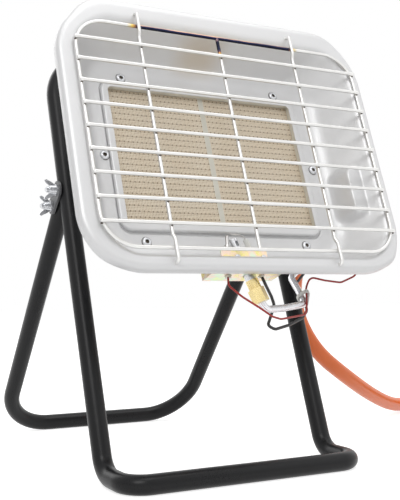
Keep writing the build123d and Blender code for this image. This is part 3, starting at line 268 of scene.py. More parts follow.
def makeEdgeWear():
    # lighter where the surface turns outward
    group, nodes, links, given, result = newGroup(
        "edgeWear", [("Amount", "NodeSocketFloat", 0.5)], [("Mask", "NodeSocketFloat")])
    shape = nodes.new("ShaderNodeNewGeometry")
    edge = nodes.new("ShaderNodeMapRange")
    edge.inputs["From Min"].default_value, edge.inputs["From Max"].default_value = effects["edge"]
    links.new(shape.outputs["Pointiness"], edge.inputs["Value"])
    links.new(given.outputs["Amount"], edge.inputs["To Max"])
    links.new(edge.outputs["Result"], result.inputs["Mask"])
    return group


def makeHeadSpace():
    # place along and up the heater, in metres, and how far the surface faces its top
    group, nodes, links, given, result = newGroup(
        "headSpace", [], [(label, "NodeSocketFloat") for label in ("Along", "Up", "FacingUp")])
    place = nodes.new("ShaderNodeTexCoord")
    shift = nodes.new("ShaderNodeVectorMath")
    shift.operation = "SUBTRACT"
    links.new(place.outputs["Object"], shift.inputs[0])
    shift.inputs[1].default_value = headMiddle
    for label, way, source in (("Along", (1, 0, 0), shift.outputs[0]), ("Up", upLean, shift.outputs[0]),
                               ("FacingUp", upLean, place.outputs["Normal"])):
        reach = nodes.new("ShaderNodeVectorMath")
        reach.operation = "DOT_PRODUCT"
        links.new(source, reach.inputs[0])
        reach.inputs[1].default_value = way
        links.new(reach.outputs["Value"], result.inputs[label])
    return group


mottle = makeMottle()
edgeWear = makeEdgeWear()
headSpace = makeHeadSpace()


def newMaterial(name):
    material = bpy.data.materials.new(name)
    material.use_nodes = True
    nodes, links = material.node_tree.nodes, material.node_tree.links
    return material, nodes, links, nodes["Principled BSDF"]


def placeGroup(nodes, group, **values):
    node = nodes.new("ShaderNodeGroup")
    node.node_tree = group
    for label, value in values.items():
        node.inputs[label].default_value = value
    return node


def placeTone(nodes, finish):
    low, high = finish["rough"]
    return placeGroup(nodes, mottle, Scale=finish["cloud"], Grain=finish["grain"], Low=low, High=high)


def addBump(nodes, links, shader, height, strength, distance):
    bump = nodes.new("ShaderNodeBump")
    bump.inputs["Strength"].default_value = strength
    bump.inputs["Distance"].default_value = distance
    links.new(height, bump.inputs["Height"])
    links.new(bump.outputs["Normal"], shader.inputs["Normal"])


def rgb(colour):
    return (*colour, 1.0)


finishes = {
    "blackTube": {"dark": (.006, .006, .007), "light": (.014, .014, .015), "metal": 0.0, "rough": (.26, .36),
                  "cloud": 14, "grain": 1500, "bump": .04, "wear": .1, "worn": (.05, .05, .05),
                  "gloss": .22},
    "blackPlate": {"dark": (.010, .010, .011), "light": (.026, .026, .028), "metal": 0.0, "rough": (.35, .5),
                   "cloud": 30, "grain": 1200, "bump": .08, "wear": .5, "worn": (.2, .2, .21), "coat": .1},
    "brightZinc": {"dark": (.50, .51, .53), "light": (.72, .73, .75), "metal": 1.0, "rough": (.22, .40),
                   "cloud": 90, "grain": 1600, "bump": .05, "wear": .3, "worn": (.85, .85, .86)},
    "platedSheet": {"dark": (.48, .48, .49), "light": (.62, .62, .63), "metal": .9, "rough": (.32, .5),
                    "cloud": 22, "grain": 1100, "bump": .06, "wear": .3, "worn": (.75, .75, .76)},
    "brass": {"dark": (.50, .34, .10), "light": (.76, .58, .25), "metal": 1.0, "rough": (.18, .34),
              "cloud": 60, "grain": 1500, "bump": .04, "wear": .5, "worn": (.92, .80, .45)},
    "stainless": {"dark": (.40, .39, .38), "light": (.60, .59, .58), "metal": 1.0, "rough": (.22, .38),
                  "cloud": 120, "grain": 1600, "bump": .04, "wear": .2, "worn": (.8, .8, .8)},
    "aluminiumTube": {"dark": (.62, .62, .64), "light": (.80, .80, .82), "metal": .95, "rough": (.20, .34),
                      "cloud": 60, "grain": 1500, "bump": .03, "wear": .1, "worn": (.9, .9, .9)},
    "ferrule": {"dark": (.52, .52, .50), "light": (.70, .70, .68), "metal": 1.0, "rough": (.25, .4),
                "cloud": 70, "grain": 1500, "bump": .05, "wear": .3, "worn": (.85, .85, .84)},
    "blackPlastic": {"dark": (.010, .010, .010), "light": (.022, .022, .022), "metal": 0.0,
                     "rough": (.42, .55), "cloud": 40, "grain": 2200, "bump": .08, "wear": .1,
                     "worn": (.08, .08, .08)},
    # dark finish for marks: weld burn on the guard, plus painted shade in rivet holes and painted shadow under the
    # guard's rows
    "weldBurnAndShade": {"dark": (.05, .04, .03), "light": (.16, .13, .10), "metal": 0.5, "rough": (.45, .65),
                 "cloud": 300, "grain": 1800, "bump": .1},
    "redPlastic": {"dark": (.34, .015, .012), "light": (.46, .025, .02), "metal": 0.0, "rough": (.28, .36),
                   "cloud": 40, "grain": 2200, "bump": .03, "wear": .1, "worn": (.6, .1, .08)},
    "whiteCeramic": {"dark": (.74, .74, .71), "light": (.88, .88, .85), "metal": 0.0, "rough": (.16, .26),
                     "cloud": 90, "grain": 1400, "bump": .02, "coat": .4},
    "gasketFelt": {"dark": (.66, .63, .54), "light": (.84, .82, .74), "metal": 0.0, "rough": (.85, .95),
                   "cloud": 70, "grain": 1300, "bump": .5},
    "blackLead": {"dark": (.012, .011, .011), "light": (.030, .028, .028), "metal": 0.0, "rough": (.36, .5),
                  "cloud": 60, "grain": 1600, "bump": .08},
    "redLead": {"dark": (.30, .014, .012), "light": (.46, .03, .022), "metal": 0.0, "rough": (.34, .46),
                "cloud": 60, "grain": 1600, "bump": .08},
    "tieNylon": {"dark": (.72, .71, .67), "light": (.86, .85, .81), "metal": 0.0, "rough": (.34, .44),
                 "cloud": 60, "grain": 1600, "bump": .05},
    "orangeHose": {"dark": (.90, .15, .015), "light": (.96, .21, .03), "metal": 0.0, "rough": (.34, .46),
                   "cloud": 16, "grain": 1100, "bump": .10, "coat": .15},
}


def makeFinish(name):
    # a plain finish: mottled colour, roughness and grain, worn light at the edges
    finish = finishes[name]
    material, nodes, links, shader = newMaterial(name)
    tone = placeTone(nodes, finish)
    colour = mixColour(nodes, links, tone.outputs["Cloud"], rgb(finish["dark"]), rgb(finish["light"]))
    if "wear" in finish:
        edge = placeGroup(nodes, edgeWear, Amount=finish["wear"])
        colour = mixColour(nodes, links, edge.outputs["Mask"], colour, rgb(finish["worn"]))
    links.new(colour, shader.inputs["Base Color"])
    links.new(tone.outputs["Value"], shader.inputs["Roughness"])
    shader.inputs["Metallic"].default_value = finish["metal"]
    shader.inputs["Coat Weight"].default_value = finish.get("coat", 0)
    shader.inputs["Specular IOR Level"].default_value = finish.get("gloss", 0.5)
    shader.inputs["Coat Roughness"].default_value = effects["coatRough"]
    addBump(nodes, links, shader, tone.outputs["Grain"], finish["bump"], effects["grainDepth"])
    return material


materials = {name: makeFinish(name) for name in finishes}


def band(nodes, links, value, middle, half, soft):
    # one inside middle +- half, fading over soft
    away = mathNode(nodes, links, "ABSOLUTE", mathNode(nodes, links, "SUBTRACT", value, middle))
    fade = nodes.new("ShaderNodeMapRange")
    fade.interpolation_type = "SMOOTHSTEP"
    fade.inputs["From Min"].default_value = half + soft
    fade.inputs["From Max"].default_value = half
    links.new(away, fade.inputs["Value"])
    return fade.outputs["Result"]


def patch(nodes, links, place, along, up):
    # one inside a band along the heater and a band up it
    return mathNode(nodes, links, "MULTIPLY", band(nodes, links, place.outputs["Along"], *along),
                    band(nodes, links, place.outputs["Up"], *up))


def makeRamp(nodes, links, value, stops):
    ramp = nodes.new("ShaderNodeValToRGB")
    elements = ramp.color_ramp.elements
    for place, colour in stops[1:-1]:
        elements.new(place)
    for element, (place, colour) in zip(sorted(elements, key=lambda e: e.position), stops):
        element.position = place
        element.color = rgb(colour)
    links.new(value, ramp.inputs["Fac"])
    return ramp.outputs["Color"]


# a patch is a middle, a half width and a fade, in metres along or up the heater
dishFinish = {
    "dark": (.71, .71, .715), "light": (.79, .79, .795), "haze": (.62, .50, .34),
    "hazeAlong": (-.012, .004, .030), "hazeUp": (.094, .002, .016), "hazeShare": .55, "cloud": 9,
    "grain": 700, "rough": (.34, .46), "metal": .30, "bump": .05,
}


def makeDishMaterial():
    # satin pressed sheet, with the brown haze that heat leaves on the top wall
    finish = dishFinish
    material, nodes, links, shader = newMaterial("satinDish")
    tone = placeTone(nodes, finish)
    colour = mixColour(nodes, links, tone.outputs["Cloud"], rgb(finish["dark"]), rgb(finish["light"]))
    haze = patch(nodes, links, placeGroup(nodes, headSpace), finish["hazeAlong"], finish["hazeUp"])
    haze = mathNode(nodes, links, "MULTIPLY", haze, finish["hazeShare"])
    links.new(mixColour(nodes, links, haze, colour, rgb(finish["haze"])), shader.inputs["Base Color"])
    links.new(tone.outputs["Value"], shader.inputs["Roughness"])
    shader.inputs["Metallic"].default_value = finish["metal"]
    addBump(nodes, links, shader, tone.outputs["Grain"], finish["bump"], effects["grainDepth"])
    return material


wireFinish = {
    "dark": (.66, .655, .64), "light": (.80, .795, .78), "cloud": 50, "grain": 1500, "rough": (.30, .42),
    "metal": .9, "topRun": (.1005, .004, .0015), "reach": (-.005, .068, .018),
    "middleHead": (.096, .003, .016), "middleWire": (-.004, .0025, .0005), "tintFrom": .02,
    "filmFrom": .611, "topLightTilt": .5, "filmCloud": .7,
    "heat": [(0, (.70, .68, .62)), (.22, (.78, .55, .14)), (.42, (.50, .26, .10)), (.55, (.10, .06, .09)),
             (.75, (.015, .02, .05)), (1, (.012, .014, .03))],
    # film runs from the dark underside to the pale top: temper colours with a painted highlight where the wire
    # faces up
    "film": [(0, (.012, .014, .03)), (.35, (.02, .03, .10)), (.6, (.75, .45, .35)), (.8, (.85, .66, .22)),
             (1, (.80, .80, .72))],
}


def makeWireMaterial(name, heated):
    # plated wire; the heated one has temper colours on the ring's top run and the head of the middle upright, and
    # on the top run's core the side facing up is paler and golden: real temper film with a painted highlight on
    # its upper side
    finish = wireFinish
    material, nodes, links, shader = newMaterial(name)
    tone = placeTone(nodes, finish)
    colour = mixColour(nodes, links, tone.outputs["Cloud"], rgb(finish["dark"]), rgb(finish["light"]))
    if heated:
        place = placeGroup(nodes, headSpace)
        onRun = patch(nodes, links, place, finish["reach"], finish["topRun"])
        onMiddle = patch(nodes, links, place, finish["middleWire"], finish["middleHead"])
        heat = mathNode(nodes, links, "MAXIMUM", onRun, onMiddle)
        # the film colour turns pale and golden where the wire faces up: a painted highlight on the temper film
        topLight = mathNode(nodes, links, "MULTIPLY", place.outputs["FacingUp"], finish["topLightTilt"])
        cloud = mathNode(nodes, links, "MULTIPLY", tone.outputs["Cloud"], finish["filmCloud"])
        film = makeRamp(nodes, links, mathNode(nodes, links, "ADD", topLight, cloud), finish["film"])
        hot = mathNode(nodes, links, "GREATER_THAN", onRun, finish["filmFrom"])
        burnt = mixColour(nodes, links, hot, makeRamp(nodes, links, heat, finish["heat"]), film)
        tinted = mathNode(nodes, links, "GREATER_THAN", heat, finish["tintFrom"])
        colour = mixColour(nodes, links, tinted, colour, burnt)
    links.new(colour, shader.inputs["Base Color"])
    links.new(tone.outputs["Value"], shader.inputs["Roughness"])
    shader.inputs["Metallic"].default_value = finish["metal"]
    return material


plaqueLook = {
    "pitchU": .00136, "pitchV": .00133, "columns": 3, "rows": 4, "fineSize": .30, "wideSize": .15,
    "sunkRow": (.16, .03), "sunkShare": .30, "fineShare": .75, "wideShare": .6, "fineDepth": .6, "bump": .6,
    "depth": .0005, "cloud": 60, "grain": 1800, "rough": (.86, .95), "body": (.88, .77, .60),
    # the last three colours are painted shade for the sunken rows, the fine holes and the deep holes
    "pale": (.96, .89, .76), "sunkShade": (.36, .24, .11), "hole": (.42, .26, .12), "deepHoleShade": (.17, .09, .04),
}


def makePlaqueMaterial():
    # porous tile: a grid of fine flame holes, with every fourth row sunken; the holes and the sunken rows are
    # darkened with painted shade
    look = plaqueLook
    material, nodes, links, shader = newMaterial("plaqueCeramic")
    tone = placeTone(nodes, look)
    place = placeGroup(nodes, headSpace)
    along, up = place.outputs["Along"], place.outputs["Up"]

    def fromCentre(value, pitch):
        cell = mathNode(nodes, links, "FRACT", mathNode(nodes, links, "DIVIDE", value, pitch))
        return mathNode(nodes, links, "ABSOLUTE", mathNode(nodes, links, "SUBTRACT", cell, 0.5))

    def holes(pitchU, pitchV, radius):
        # round spots, soft between half and one and a half times the square of the radius
        across, high = fromCentre(along, pitchU), fromCentre(up, pitchV)
        squares = mathNode(nodes, links, "ADD", mathNode(nodes, links, "MULTIPLY", across, across),
                           mathNode(nodes, links, "MULTIPLY", high, high))
        return mapRange(nodes, links, squares, radius * radius * 1.5, radius * radius * 0.5)

    def paintShade(colour, mask, share, shadeColour):
        return mixColour(nodes, links, mathNode(nodes, links, "MULTIPLY", mask, share), colour, rgb(shadeColour))

    pitchU, pitchV = look["pitchU"], look["pitchV"]
    fine = holes(pitchU, pitchV, look["fineSize"])
    wide = holes(pitchU * look["columns"], pitchV * look["rows"], look["wideSize"])
    sunkShade = mapRange(nodes, links, fromCentre(up, pitchV * look["rows"]), *look["sunkRow"])
    colour = mixColour(nodes, links, tone.outputs["Cloud"], rgb(look["body"]), rgb(look["pale"]))
    # the sunken rows, the fine holes and the deep holes are darkened: painted shade
    colour = paintShade(colour, sunkShade, look["sunkShare"], look["sunkShade"])
    colour = paintShade(colour, fine, look["fineShare"], look["hole"])
    colour = paintShade(colour, wide, look["wideShare"], look["deepHoleShade"])
    links.new(colour, shader.inputs["Base Color"])
    links.new(tone.outputs["Value"], shader.inputs["Roughness"])
    shallow = mathNode(nodes, links, "MULTIPLY", fine, look["fineDepth"])
    depth = mathNode(nodes, links, "MAXIMUM", shallow, wide)
    addBump(nodes, links, shader, mathNode(nodes, links, "SUBTRACT", 1.0, depth), look["bump"], look["depth"])
    return material


zincLook = {
    "cloud": 75, "grain": 1500, "rough": (.24, .38), "metal": .95,
    "film": [(.34, (.62, .66, .26)), (.42, (.80, .70, .30)), (.5, (.82, .62, .52)), (.6, (.62, .78, .60)),
             (.68, (.72, .80, .40))],
}


def makeYellowZinc():
    # passivated plate whose colour wanders from straw to pink and green
    material, nodes, links, shader = newMaterial("yellowZinc")
    tone = placeTone(nodes, zincLook)
    links.new(makeRamp(nodes, links, tone.outputs["Cloud"], zincLook["film"]), shader.inputs["Base Color"])
    links.new(tone.outputs["Value"], shader.inputs["Roughness"])
    shader.inputs["Metallic"].default_value = zincLook["metal"]
    return material


materials["satinDish"] = makeDishMaterial()
materials["guardWire"] = makeWireMaterial("guardWire", False)
materials["heatedWire"] = makeWireMaterial("heatedWire", True)
materials["plaqueCeramic"] = makePlaqueMaterial()
materials["yellowZinc"] = makeYellowZinc()
print("materials made")


def smoothByAngle(mesh, degrees):
    # smooth shading, save at edges that turn more than this
    for polygon in mesh.polygons:
        polygon.use_smooth = True
    mesh.set_sharp_from_angle(angle=radians(degrees))


def roundCorners(points, radii, steps):
    # a polyline whose corners are arcs, sampled
    path = [points[0].copy()]
    for before, corner, after, radius in zip(points, points[1:], points[2:], radii):
        back = (before - corner).normalized()
        onward = (after - corner).normalized()
        half = (pi - back.angle(onward)) / 2
        setback = radius * tan(half)
        start = corner + back * setback
        end = corner + onward * setback
        middle = corner + (back + onward).normalized() * (radius / cos(half))
        first, last = start - middle, end - middle
        axis = first.cross(last).normalized()
        for step in range(steps + 1):
            turn = Matrix.Rotation(2 * half * step / steps, 3, axis)
            path.append(middle + turn @ first)
    path.append(points[-1].copy())
    return path


def sweep(path, radius, sides, closed=False):
    # rings of vertices carried along a path without twisting; radius may be a list; an open path is capped
    bm = bmesh.new()
    count = len(path)
    radii = radius if isinstance(radius, list) else [radius] * count
    ways = []
    for index in range(count):
        if closed:
            way = path[(index + 1) % count] - path[index - 1]
        else:
            way = path[min(index + 1, count - 1)] - path[max(index - 1, 0)]
        ways.append(way.normalized())
    side = ways[0].orthogonal().normalized()
    rings = []
    for index in range(count):
        side = (side - ways[index] * side.dot(ways[index])).normalized()
        other = ways[index].cross(side)
        around = [side * cos(2 * pi * k / sides) + other * sin(2 * pi * k / sides) for k in range(sides)]
        rings.append([bm.verts.new(path[index] + away * radii[index]) for away in around])
    pairs = list(zip(rings, rings[1:]))
    if closed:
        pairs.append((rings[-1], rings[0]))
    for first, second in pairs:
        for k in range(sides):
            bm.faces.new((first[k], first[(k + 1) % sides], second[(k + 1) % sides], second[k]))
    if not closed:
        bm.faces.new(list(reversed(rings[0])))
        bm.faces.new(rings[-1])
    return bm


def toMesh(bm, name):
    bmesh.ops.recalc_face_normals(bm, faces=bm.faces)
    mesh = bpy.data.meshes.new(name)
    bm.to_mesh(mesh)
    bm.free()
    return mesh


def joinInto(target, source):
    # adds one bmesh to another
    holder = bpy.data.meshes.new("holder")
    source.to_mesh(holder)
    source.free()
    target.from_mesh(holder)
    bpy.data.meshes.remove(holder)


def addPiece(name, mesh, paints, body):
    # a finished piece on its body; paints fill the mesh's material slots in order
    if mesh.materials:
        mesh.materials.clear()
    for paint in paints:
        mesh.materials.append(materials[paint])
    piece = bpy.data.objects.new(name, mesh)
    bpy.context.collection.objects.link(piece)
    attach(piece, body)
    return piece


slotOf = {part["node"]: part["material_slot"] for part in frame["record"]["subparts"]}

finishOf = {
    "black_tube": "blackTube", "black_plate": "blackPlate", "zinc": "brightZinc", "dish": "satinDish",
    "plated_sheet": "platedSheet", "guard_wire": "guardWire", "plaque": "plaqueCeramic",
    "gasket": "gasketFelt", "brass": "brass", "steel": "stainless", "black_plastic": "blackPlastic",
    "red_plastic": "redPlastic", "aluminium_tube": "aluminiumTube", "yellow_zinc": "yellowZinc",
    "insulator": "whiteCeramic", "black_lead": "blackLead", "red_lead": "redLead", "tie": "tieNylon",
    "hose": "orangeHose", "ferrule": "ferrule",
}
for node, thing in frame["nodes"].items():
    for place in thing.material_slots:
        place.material = materials[finishOf[slotOf[node]]]
print("frame nodes painted")

# an outline is its middle along and up, half its width and height, and its corner; the bulge is its place
# along and up, half its width and height, its face and the width of its soft edge; drawn is where the rim
# starts to leave its plain form, and over what width
dish = {
    "hole": (-7.0, -1.0, 98.0, 70.5, 10.0), "floor": (-5.0, -3.5, 113.0, 87.5, 28.0),
    "mouth": (0.0, 0.0, 137.0, 105.0, 36.0), "edge": (0.0, 0.0, 152.5, 119.5, 50.0), "floorAt": -41.0,
    "face": -4.6, "back": -13.0, "fold": 9.0, "lip": 4.0, "dome": 6.0, "sheet": 1.2,
    "slot": (-45.0, 42.0, -32.0, -15.0), "slotBelow": -80.0, "bulge": (122.5, -34.0, 12.5, 27.0, -14.5, 7.0),
    "longSide": 116, "shortSide": 84, "corner": 30, "floorRows": 5, "foldRows": 8, "wallRows": 30,
    "foldEnds": 6, "lipStarts": 26, "lipRows": 7, "faceRows": 6, "domeRows": 7, "skirtRows": 2,
    "drawnV": (101.8, 17.7), "raiseTop": 7.0, "raiseBottom": 3.0, "drawnU": (132.0, 20.5), "drawIn": 4.0,
}


def ease(share):
    share = min(max(share, 0), 1)
    return share * share * (3 - 2 * share)


def drawRim(u, v):
    # the photographed rim stands higher, lower and less far out on the valve side than its plain form
    (startU, bandU), (startV, bandV) = dish["drawnU"], dish["drawnV"]
    newV = v + dish["raiseTop"] * ease((v - startV) / bandV)
    newV += dish["raiseBottom"] * ease((-startV - v) / bandV)
    return u - dish["drawIn"] * ease((u - startU) / bandU), newV


def outline(shape, grow=0.0):
    # a rounded rectangle, with as many points on each side and corner whatever its size
    middleU, middleV, halfU, halfV, corner = shape
    halfU, halfV, corner = halfU + grow, halfV + grow, corner + grow
    points = []
    for turn in range(4):
        across, along, count = halfU, halfV, dish["shortSide"]
        if turn % 2:
            across, along, count = halfV, halfU, dish["longSide"]
        way = Matrix.Rotation(pi / 2 * turn, 2)
        flat = along - corner
        for step in range(count):
            points.append(way @ Vector((across, flat * (2 * step / count - 1))))
        for step in range(dish["corner"]):
            angle = pi / 2 * step / dish["corner"]
            points.append(way @ Vector((across - corner + corner * cos(angle), flat + corner * sin(angle))))
    return [(point.x + middleU, point.y + middleV) for point in points]


def bend(first, knee, last, steps):
    # rows on a quadratic curve that starts at first, points at knee and stops at last
    rows = []
    for step in range(1, steps + 1):
        share = step / steps
        weights = ((1 - share) ** 2, 2 * share * (1 - share), share ** 2)
        rows.append([tuple(sum(weight * corner[axis] for weight, corner in zip(weights, corners))
                           for axis in range(3)) for corners in zip(first, knee, last)])
    return rows


def between(first, last, steps):
    return [[tuple(a + (b - a) * step / steps for a, b in zip(*pair)) for pair in zip(first, last)]
            for step in range(1, steps + 1)]


def raised(w, points):
    return [(*point, w) for point in points]


def dishRows():
    # rows of points from the burner's hole out to the back edge of the rim
    floorAt, face, dome = dish["floorAt"], dish["face"], dish["dome"]
    hole = raised(floorAt, outline(dish["hole"]))
    foldStart = raised(floorAt, outline(dish["floor"], -dish["fold"]))
    foldKnee = raised(floorAt, outline(dish["floor"]))
    mouth = raised(face, outline(dish["mouth"]))
    wall = between(foldKnee, mouth, dish["wallRows"])
    foldEnds, lipStarts = dish["foldEnds"], dish["lipStarts"]
    lipEnd = raised(face, outline(dish["mouth"], dish["lip"]))
    domeStart = raised(face, outline(dish["edge"], -dome))
    domeKnee = raised(face, outline(dish["edge"]))
    domeEnd = raised(face - dome, outline(dish["edge"]))
    skirt = raised(dish["back"], outline(dish["edge"]))
    rows = [hole] + between(hole, foldStart, dish["floorRows"])
    rows += bend(foldStart, foldKnee, wall[foldEnds], dish["foldRows"]) + wall[foldEnds + 1:lipStarts]
    rows += bend(wall[lipStarts], mouth, lipEnd, dish["lipRows"])
    rows += between(lipEnd, domeStart, dish["faceRows"])
    rows += bend(domeStart, domeKnee, domeEnd, dish["domeRows"])
    return rows + between(domeEnd, skirt, dish["skirtRows"])


def overBulge(u, v, w):
    # the wall steps forward over the room for the valve, softly, from a millimetre outside its outline
    bulgeU, bulgeV, halfWide, halfHigh, bulgeAt, soft = dish["bulge"]
    past = max(abs(v - bulgeV) - (halfHigh - halfWide), 0)
    inside = halfWide - Vector((u - bulgeU, past)).length
    return w + (max(w, bulgeAt) - w) * ease((inside + 1) / soft)


def inSlot(first, second):
    # whether the face between two rows lies in the slot of the bottom wall
    left, right, back, front = dish["slot"]
    return (first[1] < dish["slotBelow"] and left < first[0] < right
            and back < (first[2] + second[2]) / 2 < front)


def makeDish():
    rows = dishRows()
    bm = bmesh.new()
    grid = [[bm.verts.new(onHead(*drawRim(u, v), overBulge(u, v, w))) for u, v, w in row] for row in rows]
    for inner, outer, innerRow, outerRow in zip(grid, grid[1:], rows, rows[1:]):
        for k in range(len(inner)):
            after = (k + 1) % len(inner)
            if not inSlot(innerRow[k], outerRow[k]):
                bm.faces.new((inner[k], outer[k], outer[after], inner[after]))
    mesh = bpy.data.meshes.new("pressedDish")
    bm.to_mesh(mesh)
    bm.free()
    for polygon in mesh.polygons:
        polygon.use_smooth = True
    piece = addPiece("pressedDish", mesh, ["satinDish"], "heater_head")
    thick = piece.modifiers.new("sheet", "SOLIDIFY")
    thick.thickness = dish["sheet"] * mm
    thick.offset = -1
    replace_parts(piece, "reflector_dish")


makeDish()
print("dish made")

# row ends are stations from the tip inward, with the share of the wire's girth at each; a weld is its half
# sizes, how far it lies below a row, and its depth; each weld is a dark bead, partly weld and partly a painted
# shadow of the row on the wire behind
guard = {
    "wire": 3.0, "rows": 9, "pitch": 20.0, "width": 275.0, "height": 199.0, "corner": 28.0, "back": 2.6,
    "uprights": (-80.0, 73.0), "middle": -4.0, "middleShort": 0.3, "hook": 111.0, "topHook": 110.6,
    "tail": 12.0, "tailRise": 5.5, "bends": (3, 5, 5, 5, 5, 3), "foot": 1.6,
    "rowEnds": (0, .5, 1.4, 2.6, 4.0), "rowGirths": (.45, .95, 1.18, 1.12, 1.0), "sides": 16,
    "cornerSteps": 12, "bendSteps": 6, "uprightWeldShadow": ((.95, .76, .95), 1.9, -1.5),
    "ringWeldShadow": ((1.14, .665, .95), 1.7, -1.6), "smoothTo": 50,
}


def guardRing():
    halfU, halfV, corner = guard["width"] / 2, guard["height"] / 2, guard["corner"]
    path = []
    for sideU, sideV, start in ((1, 1, 0), (-1, 1, 90), (-1, -1, 180), (1, -1, 270)):
        for step in range(guard["cornerSteps"] + 1):
            angle = radians(start + 90 * step / guard["cornerSteps"])
            path.append(onHead(sideU * (halfU - corner) + corner * cos(angle),
                               sideV * (halfV - corner) + corner * sin(angle), -guard["back"]))
    return path


def addWeldAndShadow(bm, u, v, kind, paint):
    # a small dark bead below and behind a row: partly burnt weld metal, partly a painted shadow that the row casts
    # on the wire behind
    size, below, w = guard[kind]
    middle = onHead(u, v - below, w)
    start = len(bm.verts)
    bmesh.ops.create_icosphere(bm, subdivisions=2, radius=1.0)
    bm.verts.ensure_lookup_table()
    fresh = bm.verts[start:]
    for corner in fresh:
        across, up, out = (part * length for part, length in zip(corner.co, size))
        corner.co = middle + (Vector((across, 0, 0)) + upLean * up + outLean * out) * mm
    for corner in fresh:
        for face in corner.link_faces:
            face.material_index = paint


def makeGuard():
    radius, sides = guard["wire"] / 2 * mm, guard["sides"]
    halfU, halfV, back = guard["width"] / 2, guard["height"] / 2, guard["back"]
    paints = ["guardWire", "heatedWire", "weldBurnAndShade"]
    reach = halfV - guard["middleShort"]
    bm = sweep(guardRing(), radius, sides, closed=True)
    joinInto(bm, sweep([onHead(guard["middle"], v, -back) for v in (reach, -reach)], radius, sides))
    for face in bm.faces:
        face.material_index = paints.index("heatedWire")
    step = back * 2
    over = halfV - step
    hook, top, tail = guard["hook"], guard["topHook"], guard["tail"]
    upright = ((-hook, -tail), (-hook, 0), (-over, 0), (-over + step, -back), (over - step, -back), (over, 0),
               (top, 0), (top + guard["tailRise"], -tail))
    bends = [r * mm for r in guard["bends"]]
    for u in guard["uprights"]:
        corners = [onHead(u, v, w) for v, w in upright]
        joinInto(bm, sweep(roundCorners(corners, bends, guard["bendSteps"]), radius, sides))
    rows = [(index - (guard["rows"] - 1) / 2) * guard["pitch"] for index in range(guard["rows"])]
    ends = [halfU + guard["foot"] - end for end in guard["rowEnds"]]
    girths = [radius * girth for girth in guard["rowGirths"]]
    for v in rows:
        path = [onHead(-end, v, 0) for end in ends] + [onHead(end, v, 0) for end in reversed(ends)]
        joinInto(bm, sweep(path, girths + girths[::-1], sides))
    # dark beads under each row at every crossing: weld plus a painted shadow of the row
    for v in rows:
        for u in (*guard["uprights"], guard["middle"]):
            addWeldAndShadow(bm, u, v, "uprightWeldShadow", paints.index("weldBurnAndShade"))
        for u in (-halfU, halfU):
            addWeldAndShadow(bm, u, v, "ringWeldShadow", paints.index("weldBurnAndShade"))
    mesh = toMesh(bm, "wireGuard")
    smoothByAngle(mesh, guard["smoothTo"])
    piece = addPiece("guardWires", mesh, paints, "heater_head")
    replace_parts(piece, "wire_guard")


makeGuard()
print("guard made")

tile = {"width": 92.0, "height": 132.0, "thick": 13.0, "face": -44.0, "middleU": -7.0, "middleV": -1.0,
        "seam": 5.0, "dimpleU": 4.08, "dimpleV": 5.32, "depth": 0.55, "ridge": 0.4, "columns": 92,
        "rows": 132, "smoothTo": 40}


def makeTile(name, middleU):
    # a slab whose face is pressed into rows of shallow dimples
    bm = bmesh.new()
    left, bottom = middleU - tile["width"] / 2, tile["middleV"] - tile["height"] / 2
    columns, rows, ridge = tile["columns"], tile["rows"], tile["ridge"]
    grid = []
    for row in range(rows + 1):
        v = bottom + tile["height"] * row / rows
        line = []
        for column in range(columns + 1):
            u = left + tile["width"] * column / columns
            wave = (0.5 - 0.5 * cos(2 * pi * v / tile["dimpleV"])) \
                * (1 - ridge - ridge * cos(2 * pi * u / tile["dimpleU"]))
            onEdge = row in (0, rows) or column in (0, columns)
            sink = 0 if onEdge else tile["depth"] * (1 - wave)
            line.append(bm.verts.new(onHead(u, v, tile["face"] - sink)))
        grid.append(line)
    for low, high in zip(grid, grid[1:]):
        for column in range(columns):
            bm.faces.new((low[column], low[column + 1], high[column + 1], high[column]))
    border = grid[0] + [line[-1] for line in grid[1:]]
    border += grid[-1][-2::-1] + [line[0] for line in grid[-2:0:-1]]
    back = [bm.verts.new(corner.co - outLean * tile["thick"] * mm) for corner in border]
    for index in range(len(border)):
        following = (index + 1) % len(border)
        bm.faces.new((border[following], border[index], back[index], back[following]))
    bm.faces.new(list(reversed(back)))
    mesh = toMesh(bm, name)
    smoothByAngle(mesh, tile["smoothTo"])
    return addPiece(name, mesh, ["plaqueCeramic"], "heater_head")


tileStep = (tile["width"] + tile["seam"]) / 2
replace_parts(makeTile("leftPlaque", tile["middleU"] - tileStep), "ceramic_plaque_left")
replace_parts(makeTile("rightPlaque", tile["middleU"] + tileStep), "ceramic_plaque_right")
print("plaques made")

# the profile runs inward as radius and height; the bands of the dome are bright zinc, and the rest, the pin's hole
# and the thin ring at the foot, are dark with painted shade
rivets = {
    "spots": [(-83.5, 73), (71.5, 73), (-83.5, -79), (71.5, -79), (-109, -3), (98, -3)], "seat": -41.0,
    "profile": [(4.5, -.2), (4.5, .1), (4.1, .1), (4.1, .8), (3.7, 1.4), (3.0, 1.9), (2.3, 2.1), (1.9, 2.0),
                (1.6, 1.4), (1.5, .5), (1.0, .4), (.5, .7)],
    "bright": range(2, 8), "sides": 28, "smoothTo": 60,
}


